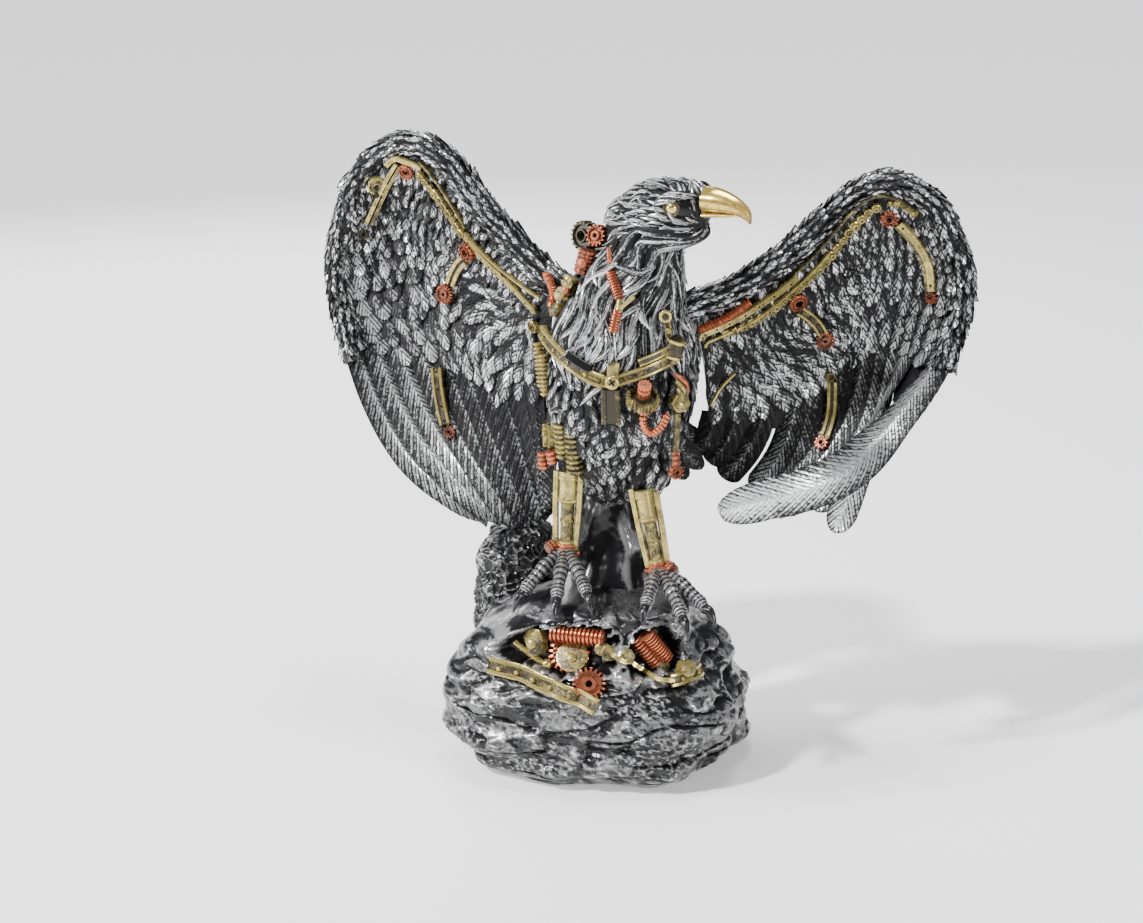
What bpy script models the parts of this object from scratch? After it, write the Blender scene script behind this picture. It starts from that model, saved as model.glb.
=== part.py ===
# Steampunk eagle figurine: a resin eagle cast together with the rock that it stands on, with
# clockwork showing between its feathers and through the broken front of the rock.
# Metres, +Z up. The eagle faces -Y, its right-hand wing in a front view is at +X, and the
# origin is on the underside, below the body.
import math

import bmesh
import bpy
from mathutils import Matrix, Vector, noise

# Driving dimensions
BIRD_HEIGHT = 0.198             # soles of the feet to the top of the raised wing
WING_SPAN = 0.305               # across both wings
ROCK_HEIGHT = 0.081             # ground to the soles of the feet
ROCK_WIDTH = 0.132
ROCK_DEPTH = 0.118
SHOULDER_HALF_WIDTH = 0.030     # the wings stretch outside this
WING_THICKNESS = 0.0044
FEATHER_THICKNESS = 0.0026
COVERT_STEP = 0.0024            # how far each row of coverts stands over the next
COVERTS_IN_ROW = 12
FEATHER_RIDGE = 0.0018
FEATHER_LEAN = 0.0019           # how far one edge of a flight feather stands over the next
FEATHER_STAGGER = 0.0014        # how far every other flight feather stands over its neighbours
WING_RIM_RADIUS = 0.0042
LEG_TUBE_DIAMETER = 0.0086
LEG_ROD_DIAMETER = 0.0026
ANKLE_CUFF_DIAMETER = 0.0100
TOE_DIAMETER = 0.0070
HARNESS_WIDTH = 0.0060
STRUT_WIDTH = 0.0052
STRUT_THICKNESS = 0.0030
TRIM_RISE = 0.0006              # the middle of a strut or gear above the coverts it is let into
CHAIN_DISC_DIAMETER = 0.0058
SMALL_GEAR_DIAMETER = 0.0085
NECK_GEAR_DIAMETER = 0.0135
NAPE_DRUM_DIAMETER = 0.0124
SHOULDER_DRUM_DIAMETER = 0.0100
CROWN_GEAR_DIAMETER = 0.0140
PINION_DIAMETER = 0.0070
HIP_NUT_DIAMETER = 0.0080
THROAT_EYE_DIAMETER = 0.0070
PIPE_DIAMETER = 0.0040
ROCK_STRIP_WIDTH = 0.0070
ROCK_STRIP_THICKNESS = 0.0050
ROCK_GEAR_THICKNESS = 0.0060
FAN_GEAR_DIAMETER = 0.0180
HALF_GEAR_DIAMETER = 0.0136
ROCK_NUT_DIAMETER = 0.0120
RACK_DIAMETER = 0.0085
OPENING_DEPTH = 0.0080
POST_DIAMETER = 0.0390
SPIRE_DIAMETER = 0.0340

# Grain of the merged casting and the facets left on it
GRAIN = 0.0010
FACETS = 9600

# One pose unit is a 198th of the bird's height, and pose points are measured from between the
# soles of the feet
UNIT = BIRD_HEIGHT / 198.0
DRAWN_SPAN = 311.5
SHOULDER = SHOULDER_HALF_WIDTH / UNIT
STRETCH = (WING_SPAN / UNIT - 2.0 * SHOULDER) / (DRAWN_SPAN - 2.0 * SHOULDER)

# Wing cages: columns from the shoulder outwards, each from the leading edge to the feather tip
LEFT_CAGE = (
    ((-28, 3, 141), (-38, 18, 117), (-40, 24, 87), (-39, 24, 57), (-36, 18, 30)),
    ((-60, 18, 162), (-66, 32, 137), (-62, 36, 104), (-51, 30, 67), (-38, 18, 22)),
    ((-88, 29, 190), (-93, 42, 154), (-85, 42, 112), (-66, 32, 67), (-42, 14, 18)),
    ((-112, 36, 197), (-118, 50, 152), (-106, 46, 107), (-82, 32, 62), (-48, 10, 17)),
    ((-131, 40, 185), (-141, 50, 137), (-126, 44, 92), (-98, 28, 52), (-56, 6, 19)),
    ((-142, 42, 167), (-153, 45, 124), (-140, 36, 78), (-112, 19, 41), (-67, -1, 21)),
)
RIGHT_CAGE = (
    ((31, 5, 132), (34, 18, 114), (36, 26, 96), (37, 28, 81), (37, 28, 69), (34, 27, 58)),
    ((55, 16, 142), (58, 34, 116), (60, 40, 91), (60, 38, 73), (55, 32, 58), (45, 25, 45)),
    ((79, 28, 160), (83, 45, 129), (85, 50, 100), (81, 46, 74), (76, 38, 55), (65, 30, 38)),
    ((97, 34, 178), (103, 50, 145), (106, 54, 110), (103, 48, 80), (92, 38, 56), (76, 28, 41)),
    ((111, 36, 187), (117, 51, 151), (119, 54, 113), (117, 44, 82), (111, 28, 56), (101, 15, 26)),
    ((122, 37, 187), (130, 51, 151), (130, 50, 112), (121, 30, 84), (108, 0, 63), (84, -28, 44)),
    ((132, 38, 183), (142, 50, 147), (141, 43, 112), (124, 14, 84), (106, -28, 72), (62, -55, 55)),
    ((142, 40, 174), (154, 45, 143), (153, 34, 111), (136, 6, 82), (108, -30, 60), (62, -55, 53)),
)

# Lower edges of the covert rows, as shares down the wing, at even steps from shoulder to tip
LEFT_COVERTS = ((0.22, 0.28, 0.30, 0.27, 0.24, 0.20), (0.39, 0.50, 0.52, 0.47, 0.40, 0.30),
                (0.62, 0.74, 0.69, 0.62, 0.53, 0.42))
RIGHT_COVERTS = ((0.30, 0.26, 0.25, 0.22, 0.20, 0.20, 0.20, 0.20),
                 (0.58, 0.44, 0.42, 0.33, 0.31, 0.32, 0.33, 0.32),
                 (0.80, 0.60, 0.57, 0.47, 0.45, 0.46, 0.48, 0.46))

# Flight feathers: share across the wing, half width in pose units, and how far each tip turns
# its face to the front
LEFT_FLIGHT = ((0.05, 6, 0), (0.13, 6, 0), (0.21, 6, 0), (0.30, 7, 0), (0.39, 7, 0), (0.48, 7, 0),
               (0.57, 7, 0), (0.66, 7, 0), (0.75, 7.5, 0), (0.84, 8, 0), (0.935, 7.5, 0))
RIGHT_FLIGHT = ((0.01, 6, 0), (0.07, 6, 0), (0.143, 6.5, 0), (0.24, 6, 0), (0.286, 7, 0),
                (0.36, 7, 0), (0.43, 7, 0), (0.50, 7, 0.5), (0.571, 7.5, 1), (0.714, 8, 0.7),
                (0.93, 8.5, 0.3))

# How far down the outer side the rim of a wing goes, and how far in from the edge it runs, both
# as shares of the wing
LEFT_RIM = (0.30, 0.035)
RIGHT_RIM = (0.34, 0.018)

# Body stations: height, centre x and y, half width, half depth
BODY = ((38, 0, 6, 12, 12), (48, 1, 3, 22, 22), (62, 0, 1, 28, 29), (82, 2, 0, 33, 35),
        (102, 3, 0, 34, 37), (118, 4, -2, 31, 35), (132, 3.5, -3, 26.5, 30), (147, 8, -5, 22, 24),
        (162, 12, -8, 18, 19), (174, 16, -11, 17, 17))
BODY_SIDES = 28


def pose(x, y, z):
    """Pose units to metres, the wings stretched outside the shoulders."""
    reach = max(abs(x) - SHOULDER, 0.0)
    across = math.copysign(abs(x) - reach + reach * STRETCH, x)
    return Vector((across * UNIT, y * UNIT, ROCK_HEIGHT + z * UNIT))


def spline(points, share):
    """A smooth curve through evenly spaced points."""
    points = [Vector(point) for point in points]
    spot = min(max(share, 0.0), 1.0) * (len(points) - 1)
    first = min(int(spot), len(points) - 2)
    f = spot - first
    p1, p2 = points[first], points[first + 1]
    p0 = points[first - 1] if first > 0 else 2.0 * p1 - p2
    p3 = points[first + 2] if first + 2 < len(points) else 2.0 * p2 - p1
    bend = f * (2.0 * p0 - 5.0 * p1 + 4.0 * p2 - p3 + f * (3.0 * (p1 - p2) + p3 - p0))
    return p1 + 0.5 * f * (p2 - p0 + bend)


def level(values, share):
    """The same curve through evenly spaced numbers."""
    return spline([(value, 0.0, 0.0) for value in values], share).x


class Skin:
    """A curved surface that feathers and trim are laid on."""

    def lifted(self, u, v, lift):
        return self.point(u, v) + self.normal(u, v) * lift

    def across(self, u, v):
        return (self.point(u + 0.01, v) - self.point(u - 0.01, v)).normalized()

    def normal(self, u, v):
        down = self.point(u, v + 0.01) - self.point(u, v - 0.01)
        return self.across(u, v).cross(down).normalized() * self.turn


class Wing(Skin):
    def __init__(self, cage, turn):
        self.cage = [[pose(*point) for point in column] for column in cage]
        self.turn = turn

    def point(self, u, v):
        u = min(max(u, -0.005), 1.005)
        v = min(max(v, -0.005), 1.005)
        return spline([spline(column, v) for column in self.cage], u)


class Body(Skin):
    """Torso, neck and throat: u runs round it from the back, v runs down it."""
    turn = 1.0

    def point(self, u, v):
        z, x, y, half_width, half_depth = [
            level([station[k] for station in reversed(BODY)], v) for k in range(5)]
        angle = math.tau * u
        return pose(x + half_width * math.sin(angle), y + half_depth * math.cos(angle), z)


def mesh_object(name, shape):
    """Turn a bmesh into an object with its faces pointing outwards."""
    bmesh.ops.recalc_face_normals(shape, faces=shape.faces)
    mesh = bpy.data.meshes.new(name)
    shape.to_mesh(mesh)
    shape.free()
    return bpy.data.objects.new(name, mesh)


def sheet(name, columns, rows, place, thickness):
    """A thick sheet whose points come from place(s, t), both from 0 to 1."""
    shape = bmesh.new()
    bmesh.ops.create_grid(shape, x_segments=columns, y_segments=rows, size=0.5)
    for vertex in shape.verts:
        vertex.co = place(vertex.co.x + 0.5, vertex.co.y + 0.5)
    bmesh.ops.recalc_face_normals(shape, faces=shape.faces)
    bmesh.ops.solidify(shape, geom=shape.faces, thickness=thickness)
    return mesh_object(name, shape)


def loft(name, rings):
    """A closed skin over rings of points, capped at both ends."""
    shape = bmesh.new()
    rows = [[shape.verts.new(point) for point in ring] for ring in rings]
    for low, high in zip(rows, rows[1:]):
        for k in range(len(low)):
            shape.faces.new((low[k - 1], low[k], high[k], high[k - 1]))
    shape.faces.new(rows[0])
    shape.faces.new(reversed(rows[-1]))
    return mesh_object(name, shape)


def ring(centre, direction, half_width, half_height, sides=10, side=Vector((0, 0, 1))):
    """Points of an ellipse round a centre, square to a direction."""
    across = direction.cross(side).normalized()
    up = across.cross(direction).normalized()
    points = []
    for k in range(sides):
        angle = math.tau * k / sides
        points.append(centre + across * half_width * math.cos(angle)
                      + up * half_height * math.sin(angle))
    return points


def tube(name, points, radii, sides=10, steps=None):
    """A round limb of changing radius along a smooth path of world points."""
    steps = steps or 3 * (len(points) - 1)
    rings = []
    for k in range(steps + 1):
        share = k / steps
        direction = spline(points, share + 0.02) - spline(points, share - 0.02)
        if share in (0.0, 1.0):
            inner = 0.02 if share == 0.0 else 0.98
            direction = (spline(points, inner) - spline(points, share)) * (1 - 2 * share)
        radius = level(radii, share)
        helper = Vector((0, 0, 1)) if abs(direction.normalized().z) < 0.9 else Vector((0, 1, 0))
        rings.append(ring(spline(points, share), direction.normalized(), radius, radius,
                          sides, helper))
    return loft(name, rings)


def ball(name, centre, size, turned=(0.0, 0.0, 0.0), sides=14):
    """An ellipsoid with half sizes in size."""
    shape = bmesh.new()
    bmesh.ops.create_uvsphere(shape, u_segments=sides, v_segments=sides // 2 + 1, radius=1.0)
    turn = Matrix.Rotation(turned[2], 4, "Z") @ Matrix.Rotation(turned[1], 4, "Y")
    turn = turn @ Matrix.Rotation(turned[0], 4, "X")
    matrix = Matrix.Translation(centre) @ turn @ Matrix.Diagonal((*size, 1.0))
    bmesh.ops.transform(shape, matrix=matrix, verts=shape.verts)
    return mesh_object(name, shape)


def gear(name, centre, axis, radius, thickness, teeth=10, depth=0.24):
    """A toothed disc, or a plain round one with no teeth."""
    shape = bmesh.new()
    bmesh.ops.create_cone(shape, cap_ends=True, segments=4 * teeth or 14,
                          radius1=radius, radius2=radius, depth=thickness)
    for vertex in shape.verts:
        turn = math.atan2(vertex.co.y, vertex.co.x) / math.tau * teeth
        if teeth and (turn + 0.125) % 1.0 > 0.5:
            vertex.co.x *= 1.0 - depth
            vertex.co.y *= 1.0 - depth
    turned = axis.to_track_quat("Z", "Y").to_matrix().to_4x4()
    bmesh.ops.transform(shape, matrix=Matrix.Translation(centre) @ turned, verts=shape.verts)
    return mesh_object(name, shape)


def strip(name, points, normals, width, thickness, steps=10):
    """A flat bar that bends along a path and faces along the normals."""
    rings = []
    for k in range(steps + 1):
        share = k / steps
        near, far = max(share - 0.02, 0.0), min(share + 0.02, 1.0)
        along = (spline(points, far) - spline(points, near)).normalized()
        normal = spline(normals, share).normalized()
        side = along.cross(normal).normalized() * width / 2.0
        rise = normal * thickness / 2.0
        centre = spline(points, share)
        rings.append([centre - side - rise, centre + side - rise,
                      centre + side + rise, centre - side + rise])
    return loft(name, rings)


def blade(name, skin, u, start, end, half_width, lift, ridge, lean=0.0, sway=0.0, turned=0.0):
    """One feather along a skin: a ridge down the middle, thin edges and a round tip."""
    def place(s, t):
        v = start + (end - start) * t
        spot = u + sway * math.sin(3.0 * t)
        side = 2.0 * s - 1.0
        tip = max((t - 0.86) / 0.14, 0.0)
        width = half_width * math.sqrt(max(1.0 - tip * tip, 0.03)) * (0.75 + 0.25 * min(3 * t, 1))
        height = lift + ridge * (1.0 - abs(side)) + lean * side
        along = (skin.point(spot, v + 0.01) - skin.point(spot, v - 0.01)).normalized()
        facing = skin.normal(spot, v).lerp(Vector((0.0, -1.0, 0.0)), turned * t)
        across = along.cross(facing).normalized()
        return skin.point(spot, v) + across * side * width + across.cross(along) * height
    return sheet(name, 4, 9, place, FEATHER_THICKNESS)


def covert_row(name, skin, top, edge, count, lift, scallop, around=(0.0, 1.0)):
    """A row of short feathers: a raised sheet with a rounded crown and tip for each feather."""
    def place(s, t):
        u = around[0] + (around[1] - around[0]) * s
        phase = 2.0 * ((s * count) % 1.0) - 1.0 if s < 1.0 else 1.0
        crown = math.sqrt(max(1.0 - phase * phase, 0.0))
        bottom = level(edge, u) + scallop * (crown - 0.5)
        v = top + (bottom - top) * t
        return skin.lifted(u, v, (lift + 0.0008 * crown) * t - FEATHER_THICKNESS * (1.0 - t))
    return sheet(name, 4 * count, 5, place, FEATHER_THICKNESS)


def wing_panel(name, skin, last_row):
    """The solid arm of the wing, under its coverts, and down to their lowest edge."""
    def place(s, t):
        return skin.lifted(s, t * (level(last_row, s) + 0.10), 0.0)
    return sheet(name, 20, 12, place, WING_THICKNESS)


def wing_rim(name, skin, drop, inset):
    """The thick roll of small feathers along the leading edge and down the outer side."""
    path = [skin.lifted(k / 8.0, inset, 0.001) for k in range(8)]
    path += [skin.lifted(1.0 - inset, v, 0.001) for v in (0.03, drop / 2.0, drop)]
    radii = [WING_RIM_RADIUS * share for share in (1.25, 1.2, 1.15, 1.1, 1.1, 1.0, 0.6)]
    return tube(name, path, radii, sides=8, steps=26)


def wing(name, cage, turn, coverts, flight, rim):
    skin = Wing(cage, turn)
    parts = [wing_panel(name, skin, coverts[-1]), wing_rim(name, skin, *rim)]
    for k, (u, half_width, turned) in enumerate(flight):
        start = level(coverts[-1], u) - 0.12
        lift = 0.0006 + FEATHER_STAGGER * (k % 2)
        parts.append(blade(name, skin, u, start, 1.0, half_width * UNIT, lift, FEATHER_RIDGE,
                           lean=FEATHER_LEAN * turn, turned=turned))
    for row, edge in enumerate(coverts):
        top = 0.06 if row == 0 else min(coverts[row - 1]) - 0.08
        lift = COVERT_STEP * (len(coverts) - row)
        parts.append(covert_row(name, skin, top, edge, COVERTS_IN_ROW, lift, 0.08))
    return parts


def on_skin(skin, spots, lift):
    """World points and normals over a list of (u, v) spots."""
    return [skin.lifted(u, v, lift) for u, v in spots], [skin.normal(u, v) for u, v in spots]


def wing_strut(name, skin, spots, lift, width=STRUT_WIDTH):
    points, normals = on_skin(skin, spots, lift)
    return strip(name, points, normals, width, STRUT_THICKNESS, steps=4 * (len(spots) - 1))


def wing_gear(name, skin, spot, lift, diameter=SMALL_GEAR_DIAMETER, teeth=10):
    return gear(name, skin.lifted(*spot, lift), skin.normal(*spot), diameter / 2.0,
                STRUT_THICKNESS, teeth)


def left_wing_trim():
    skin = Wing(LEFT_CAGE, 1.0)
    high = COVERT_STEP * 3.0 + TRIM_RISE
    low = COVERT_STEP + TRIM_RISE
    parts = [
        wing_strut("left_outer_strut", skin, ((0.60, 0.09), (0.68, 0.14), (0.74, 0.20)), high),
        wing_strut("left_arc", skin, ((0.66, 0.07), (0.57, 0.08), (0.49, 0.09)), high),
        wing_strut("left_strip", skin, ((0.37, 0.17), (0.27, 0.20), (0.14, 0.18), (0.0, 0.19)), high),
        wing_strut("left_bar", skin, ((0.32, 0.31), (0.36, 0.37), (0.41, 0.43)), high),
        wing_strut("left_lower_strut", skin, ((0.62, 0.63), (0.66, 0.69), (0.70, 0.75)), low),
    ]
    for spot in ((0.76, 0.22), (0.71, 0.11), (0.56, 0.12), (0.29, 0.27), (0.45, 0.46)):
        parts.append(wing_gear("left_gear", skin, spot, high))
    parts.append(wing_gear("left_low_gear", skin, (0.69, 0.76), low))
    for k in range(7):
        spot = (0.47 - 0.033 * k, 0.12 + 0.011 * k)
        parts.append(wing_gear("left_chain", skin, spot, high, CHAIN_DISC_DIAMETER, teeth=0))
    return parts


def right_wing_trim():
    skin = Wing(RIGHT_CAGE, -1.0)
    high = COVERT_STEP * 3.0 + TRIM_RISE
    low = COVERT_STEP + TRIM_RISE
    shoulder_pipe = [skin.lifted(u, v, high) for u, v in ((0.0, 0.08), (0.07, 0.065), (0.14, 0.05))]
    parts = [
        wing_strut("right_outer_strut", skin, ((0.66, 0.12), (0.76, 0.20), (0.80, 0.29)), high),
        wing_strut("right_strip", skin, ((0.0, 0.17), (0.1, 0.12), (0.2, 0.085), (0.27, 0.09)), high),
        wing_strut("right_bar", skin, ((0.25, 0.20), (0.28, 0.27), (0.30, 0.34)), high),
        wing_strut("right_lower_strut", skin, ((0.34, 0.53), (0.365, 0.64), (0.39, 0.75)), low),
        tube("right_pipe", shoulder_pipe, [PIPE_DIAMETER / 2.0 * k for k in (1.0, 1.3, 1.0)]),
    ]
    for spot in ((0.60, 0.11), (0.80, 0.31), (0.25, 0.17), (0.30, 0.36)):
        parts.append(wing_gear("right_gear", skin, spot, high))
    parts.append(wing_gear("right_low_gear", skin, (0.39, 0.76), low))
    for k in range(11):
        spot = (0.52 - 0.042 * k, 0.075 + 0.0085 * k)
        parts.append(wing_gear("right_chain", skin, spot, high, CHAIN_DISC_DIAMETER, teeth=0))
    return parts


def body():
    """Torso and neck with rows of feathers, and the long hackles hanging over the chest."""
    skin = Body()
    rings = [[skin.point(k / BODY_SIDES, v / 18.0) for k in range(BODY_SIDES)] for v in range(19)]
    parts = [loft("torso", rings)]
    for row, v in enumerate((0.98, 0.90, 0.82, 0.74, 0.66, 0.58)):
        parts.append(covert_row("body_row", skin, v - 0.12, (v, v), 16,
                                0.0020, 0.05, (0.02 * (row % 2), 1.0 + 0.02 * (row % 2))))
    for tier, (start, end, count) in enumerate(((0.22, 0.60, 15), (0.12, 0.45, 15), (0.0, 0.28, 13))):
        for k in range(count):
            u = (k + 0.5 * (tier % 2)) / count
            drop = end + 0.03 * math.sin(4.0 * k)
            parts.append(blade("hackle", skin, u, start, drop, 5.2 * UNIT,
                               0.0010 + 0.0007 * tier, 0.0016, sway=0.015))
    return parts


def head():
    """Skull turned to +X, brow, eyes and the hooked beak."""
    centre = pose(27, -17, 176)
    facing = math.radians(-14.0)
    parts = [ball("skull", centre, Vector((22, 16, 16)) * UNIT, (0.0, 0.0, facing), 18),
             ball("forehead", pose(36, -19, 181), Vector((13, 12, 13)) * UNIT, (0, 0, facing)),
             ball("nape", pose(14, -13, 172), Vector((16, 15, 13)) * UNIT, (0, 0, facing)),
             ball("cheek", pose(36, -20, 172), Vector((13, 13, 10)) * UNIT, (0, 0, facing))]
    ahead = Vector((math.cos(facing), math.sin(facing), 0.0))
    beside = Vector((ahead.y, -ahead.x, 0.0))
    for side in (1.0, -1.0):
        eye = pose(36, -19, 181) + beside * side * 11.5 * UNIT
        brow = [eye + ahead * step * UNIT + beside * side * out * UNIT + Vector((0, 0, rise * UNIT))
                for step, out, rise in ((-9, 0.5, 3.0), (0, 2.4, 5.2), (11, 0.2, 4.6))]
        parts.append(tube("brow", brow, [1.6 * UNIT, 2.4 * UNIT, 1.8 * UNIT]))
        parts.append(ball("eye", eye, Vector((3.2, 3.2, 3.2)) * UNIT))
    upper = [pose(44, -22, 183), pose(52, -24.5, 183.5), pose(60, -27, 182.5), pose(66, -29, 179),
             pose(68, -30, 173)]
    parts.append(tube("upper_beak", upper, [k * UNIT for k in (8.8, 7.6, 5.8, 3.8, 1.0)], steps=12))
    lower = [pose(42, -21, 173), pose(52, -24.5, 174.5), pose(61, -27.5, 176)]
    parts.append(tube("lower_beak", lower, [k * UNIT for k in (5.0, 3.4, 1.8)]))
    return parts


def tail():
    """A fan of long feathers behind the legs."""
    parts = []
    root = pose(2, 18, 85)
    for k in range(7):
        angle = math.radians(-39.0 + 13.0 * k)
        aim = Vector((math.sin(angle), 0.42, -0.90 * math.cos(angle))).normalized()
        side = aim.cross(Vector((0, 1, 0))).normalized()
        length = 60.0 - abs(k - 3) * 2.0

        def place(s, t, aim=aim, side=side, length=length, k=k):
            tip = max((t - 0.75) / 0.25, 0.0)
            width = (3.5 + 4.0 * t) * math.sqrt(max(1.0 - tip * tip, 0.03))
            back = 1.5 * (k % 2) + 1.0 * (1.0 - abs(2.0 * s - 1.0))
            offset = aim * length * t + side * (2.0 * s - 1.0) * width - Vector((0, back, 0))
            return root + offset * UNIT
        parts.append(sheet("tail_feather", 4, 8, place, FEATHER_THICKNESS))
    return parts


def leg(hip, ankle, outward):
    """A clockwork leg: gear stack at the hip, two cylinders, side rods and a cuff."""
    top, bottom = pose(*hip), pose(*ankle)
    radius = LEG_TUBE_DIAMETER / 2.0
    axis = (bottom - top).normalized()
    middle = top.lerp(bottom, 0.5)
    parts = [tube("leg_upper", [top - axis * 0.012, middle], [radius * 1.15, radius * 1.15], steps=2),
             tube("leg_lower", [middle, bottom], [radius, radius * 0.85], steps=2),
             gear("leg_collar", middle, axis, radius * 1.35, 0.003, teeth=0),
             gear("ankle_cuff", bottom, axis, ANKLE_CUFF_DIAMETER / 2.0, 0.0046, teeth=0)]
    for k in range(3):
        spot = top - axis * (0.004 + 0.0048 * k) + Vector((0, -0.002, 0))
        parts.append(gear("hip_gear", spot, axis, radius * 1.7, 0.0026, teeth=9))
    for side in (-1.0, 1.0):
        offset = Vector((side * radius * 1.2, 0, 0))
        bow = Vector((side * radius * 0.3, 0, 0))
        rod = [top + offset, middle + offset + bow, bottom + offset * 0.8]
        parts.append(tube("leg_rod", rod, [LEG_ROD_DIAMETER / 2.0] * 2, sides=8))
    parts.append(gear("ankle_gear", bottom + Vector((outward * radius * 1.5, -0.002, 0.001)),
                      Vector((0, -1, 0)), SMALL_GEAR_DIAMETER / 2.4, 0.003, teeth=9))
    return parts


def foot(ankle, tips):
    """Toes that spread from the ankle, each arched over the rock and ending in a claw."""
    parts = []
    start = pose(*ankle) - Vector((0, 0, 0.002))
    radius = TOE_DIAMETER / 2.0
    for tip in tips:
        end = pose(*tip)
        knuckle = start.lerp(end, 0.42) + Vector((0, 0, 3.0 * UNIT))
        joint = start.lerp(end, 0.78) + Vector((0, 0, 2.6 * UNIT))
        parts.append(tube("toe", [start, knuckle, joint, end],
                          [radius * k for k in (1.0, 1.1, 0.95, 0.25)], sides=8, steps=9))
        parts.append(ball("knuckle", knuckle, Vector((1.2, 1.2, 1.0)) * radius, sides=8))
        parts.append(ball("joint", joint, Vector((1.15, 1.15, 0.95)) * radius, sides=8))
    return parts


def legs():
    parts = leg((-17, -18, 57), (-18, -20, 20), -1.0) + leg((18.5, -22, 52), (26.5, -25, 16), 1.0)
    parts += foot((-18, -21, 18), ((-35, -45, -1), (-13, -58, 1), (3, -55, 4), (-20, 8, 2)))
    parts += foot((27, -26, 15), ((28, -60, 3), (49, -62, -1), (58, -48, 1), (28, 4, 2)))
    thighs = ((-15, -8, 60, -0.1), (17, -10, 58, 0.15))
    for x, y, z, turn in thighs:
        parts.append(ball("thigh", pose(x, y, z), Vector((11, 13, 15)) * UNIT, (0.0, turn, 0.0)))
    return parts


def harness():
    """The riveted brass band across the chest, its plates, pinion and bent copper pipe."""
    front = Vector((0.15, -1.0, 0.15))
    tilt = Vector((0.2, -0.4, 1.0))
    left = [pose(-26, -20, 118), pose(-12, -34, 111), pose(4, -38.5, 104.5)]
    right = [pose(4, -38.5, 104.5), pose(16, -37, 107), pose(28, -30, 112), pose(40, -14, 118)]
    parts = [strip("left_band", left, [front - Vector((0.5, 0, 0)), front, front], HARNESS_WIDTH,
                   STRUT_THICKNESS),
             strip("right_band", right, [front, front, front + Vector((0.6, 0, 0)),
                                         front + Vector((1.2, 0, 0))], HARNESS_WIDTH,
                   STRUT_THICKNESS),
             gear("band_screw", pose(9, -39.5, 105), front, HARNESS_WIDTH * 0.55, 0.005, teeth=0),
             ball("band_shoulder", pose(33, -25, 118), Vector((7, 6, 6)) * UNIT),
             strip("chest_plate", [pose(7, -37, 102), pose(7, -36.5, 86)], [front, front], 0.0085,
                   STRUT_THICKNESS, 4),
             gear("crown_gear", pose(21, -34, 97), tilt, CROWN_GEAR_DIAMETER / 2.0, 0.004, 12),
             gear("pinion", pose(22, -33, 101), tilt, PINION_DIAMETER / 2.0, 0.009, 8)]
    loop = [pose(21, -34, 92), pose(22, -37, 84), pose(27, -37, 82), pose(32, -34, 86),
            pose(33, -31, 91)]
    parts.append(tube("chest_pipe", loop, [PIPE_DIAMETER / 2.0] * 2, sides=8, steps=10))
    for spot, size in ((pose(34, -23, 92), 1.0), (pose(32, -25, 100), 0.85)):
        parts.append(gear("hip_nut", spot, Vector((0.6, -1, 0)), HIP_NUT_DIAMETER / 2.0 * size, 0.008, 6))
    return parts


def neck_gears():
    """Gears at the nape and the copper pipe and springs down the side of the neck."""
    behind, aside = Vector((-0.5, -1, 0.1)), Vector((-0.8, -0.8, 0.2))
    parts = [gear("nape_gear", pose(-9, -8, 162), behind, NECK_GEAR_DIAMETER / 2.0, 0.006, 12),
             gear("nape_pinion", pose(-5, -12, 163), behind, NECK_GEAR_DIAMETER / 3.0, 0.007, 9),
             gear("nape_drum", pose(-11, -12, 150), aside, NAPE_DRUM_DIAMETER / 2.0, 0.008, 10),
             gear("shoulder_drum", pose(-17, -12, 137), aside, SHOULDER_DRUM_DIAMETER / 2.0, 0.008, 9),
             ball("nape_block", pose(-6, -4, 155), Vector((12, 11, 14)) * UNIT)]
    pipe = [pose(-1, -21, 156), pose(0, -26, 147), pose(5, -31, 136), pose(5, -34, 122)]
    parts.append(tube("neck_pipe", pipe, [PIPE_DIAMETER / 2.0] * 2, sides=8))
    parts.append(gear("throat_eye", pose(27.5, -28, 134), Vector((0.5, -1, 0)),
                      THROAT_EYE_DIAMETER / 2.0, 0.011, 8))
    return parts


def rock_point(angle, height):
    """The rock's side at a height share from 0 to 1: a layered boulder, rough on a broad scale."""
    shares = (0.76, 0.94, 1.0, 1.0, 0.98, 0.92, 0.84, 0.74, 0.62, 0.44)
    share = level(shares, height)
    lean = level((0.0, 0.0, 0.0, 0.0, 0.0, -0.01, -0.02, -0.02, 0.02, 0.08), height)
    front = max(-math.cos(angle), 0.0) ** 2
    squared = (abs(math.sin(angle)) ** 3 + abs(math.cos(angle)) ** 3) ** (-1.0 / 3.0)
    share += front * 0.30 * max(height - 0.35, 0.0)
    x = math.sin(angle) * squared * share * ROCK_WIDTH / 2.0 - 0.006 + lean * ROCK_WIDTH
    y = math.cos(angle) * squared * share * ROCK_DEPTH / 2.0 - 0.006 - lean * 0.6 * ROCK_DEPTH
    spot = Vector((x, y, height * ROCK_HEIGHT))
    rough = noise.noise(spot * 38.0) * 0.0055 + noise.noise(spot * 95.0) * 0.0022
    layers = math.sin(height * 26.0 + 3.0 * noise.noise(spot * 20.0)) * 0.0026
    layers *= max(1.0 - 1.4 * height, 0.0)
    outward = Vector((math.sin(angle), math.cos(angle), 0.0))
    return spot + outward * (rough + layers)


def broken_in(degrees, height):
    """How deep the two broken places in the front of the rock go, degrees from the front."""
    deep = 0.0
    for middle, share, half_turn, half_height in ((-3.0, 0.80, 27.0, 0.13), (40.0, 0.80, 15.0, 0.14)):
        away = ((degrees - middle) / half_turn) ** 2 + ((height - share) / half_height) ** 2
        deep = max(deep, min(max(2.2 * (1.0 - away), 0.0), 1.0))
    return deep * OPENING_DEPTH


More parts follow.
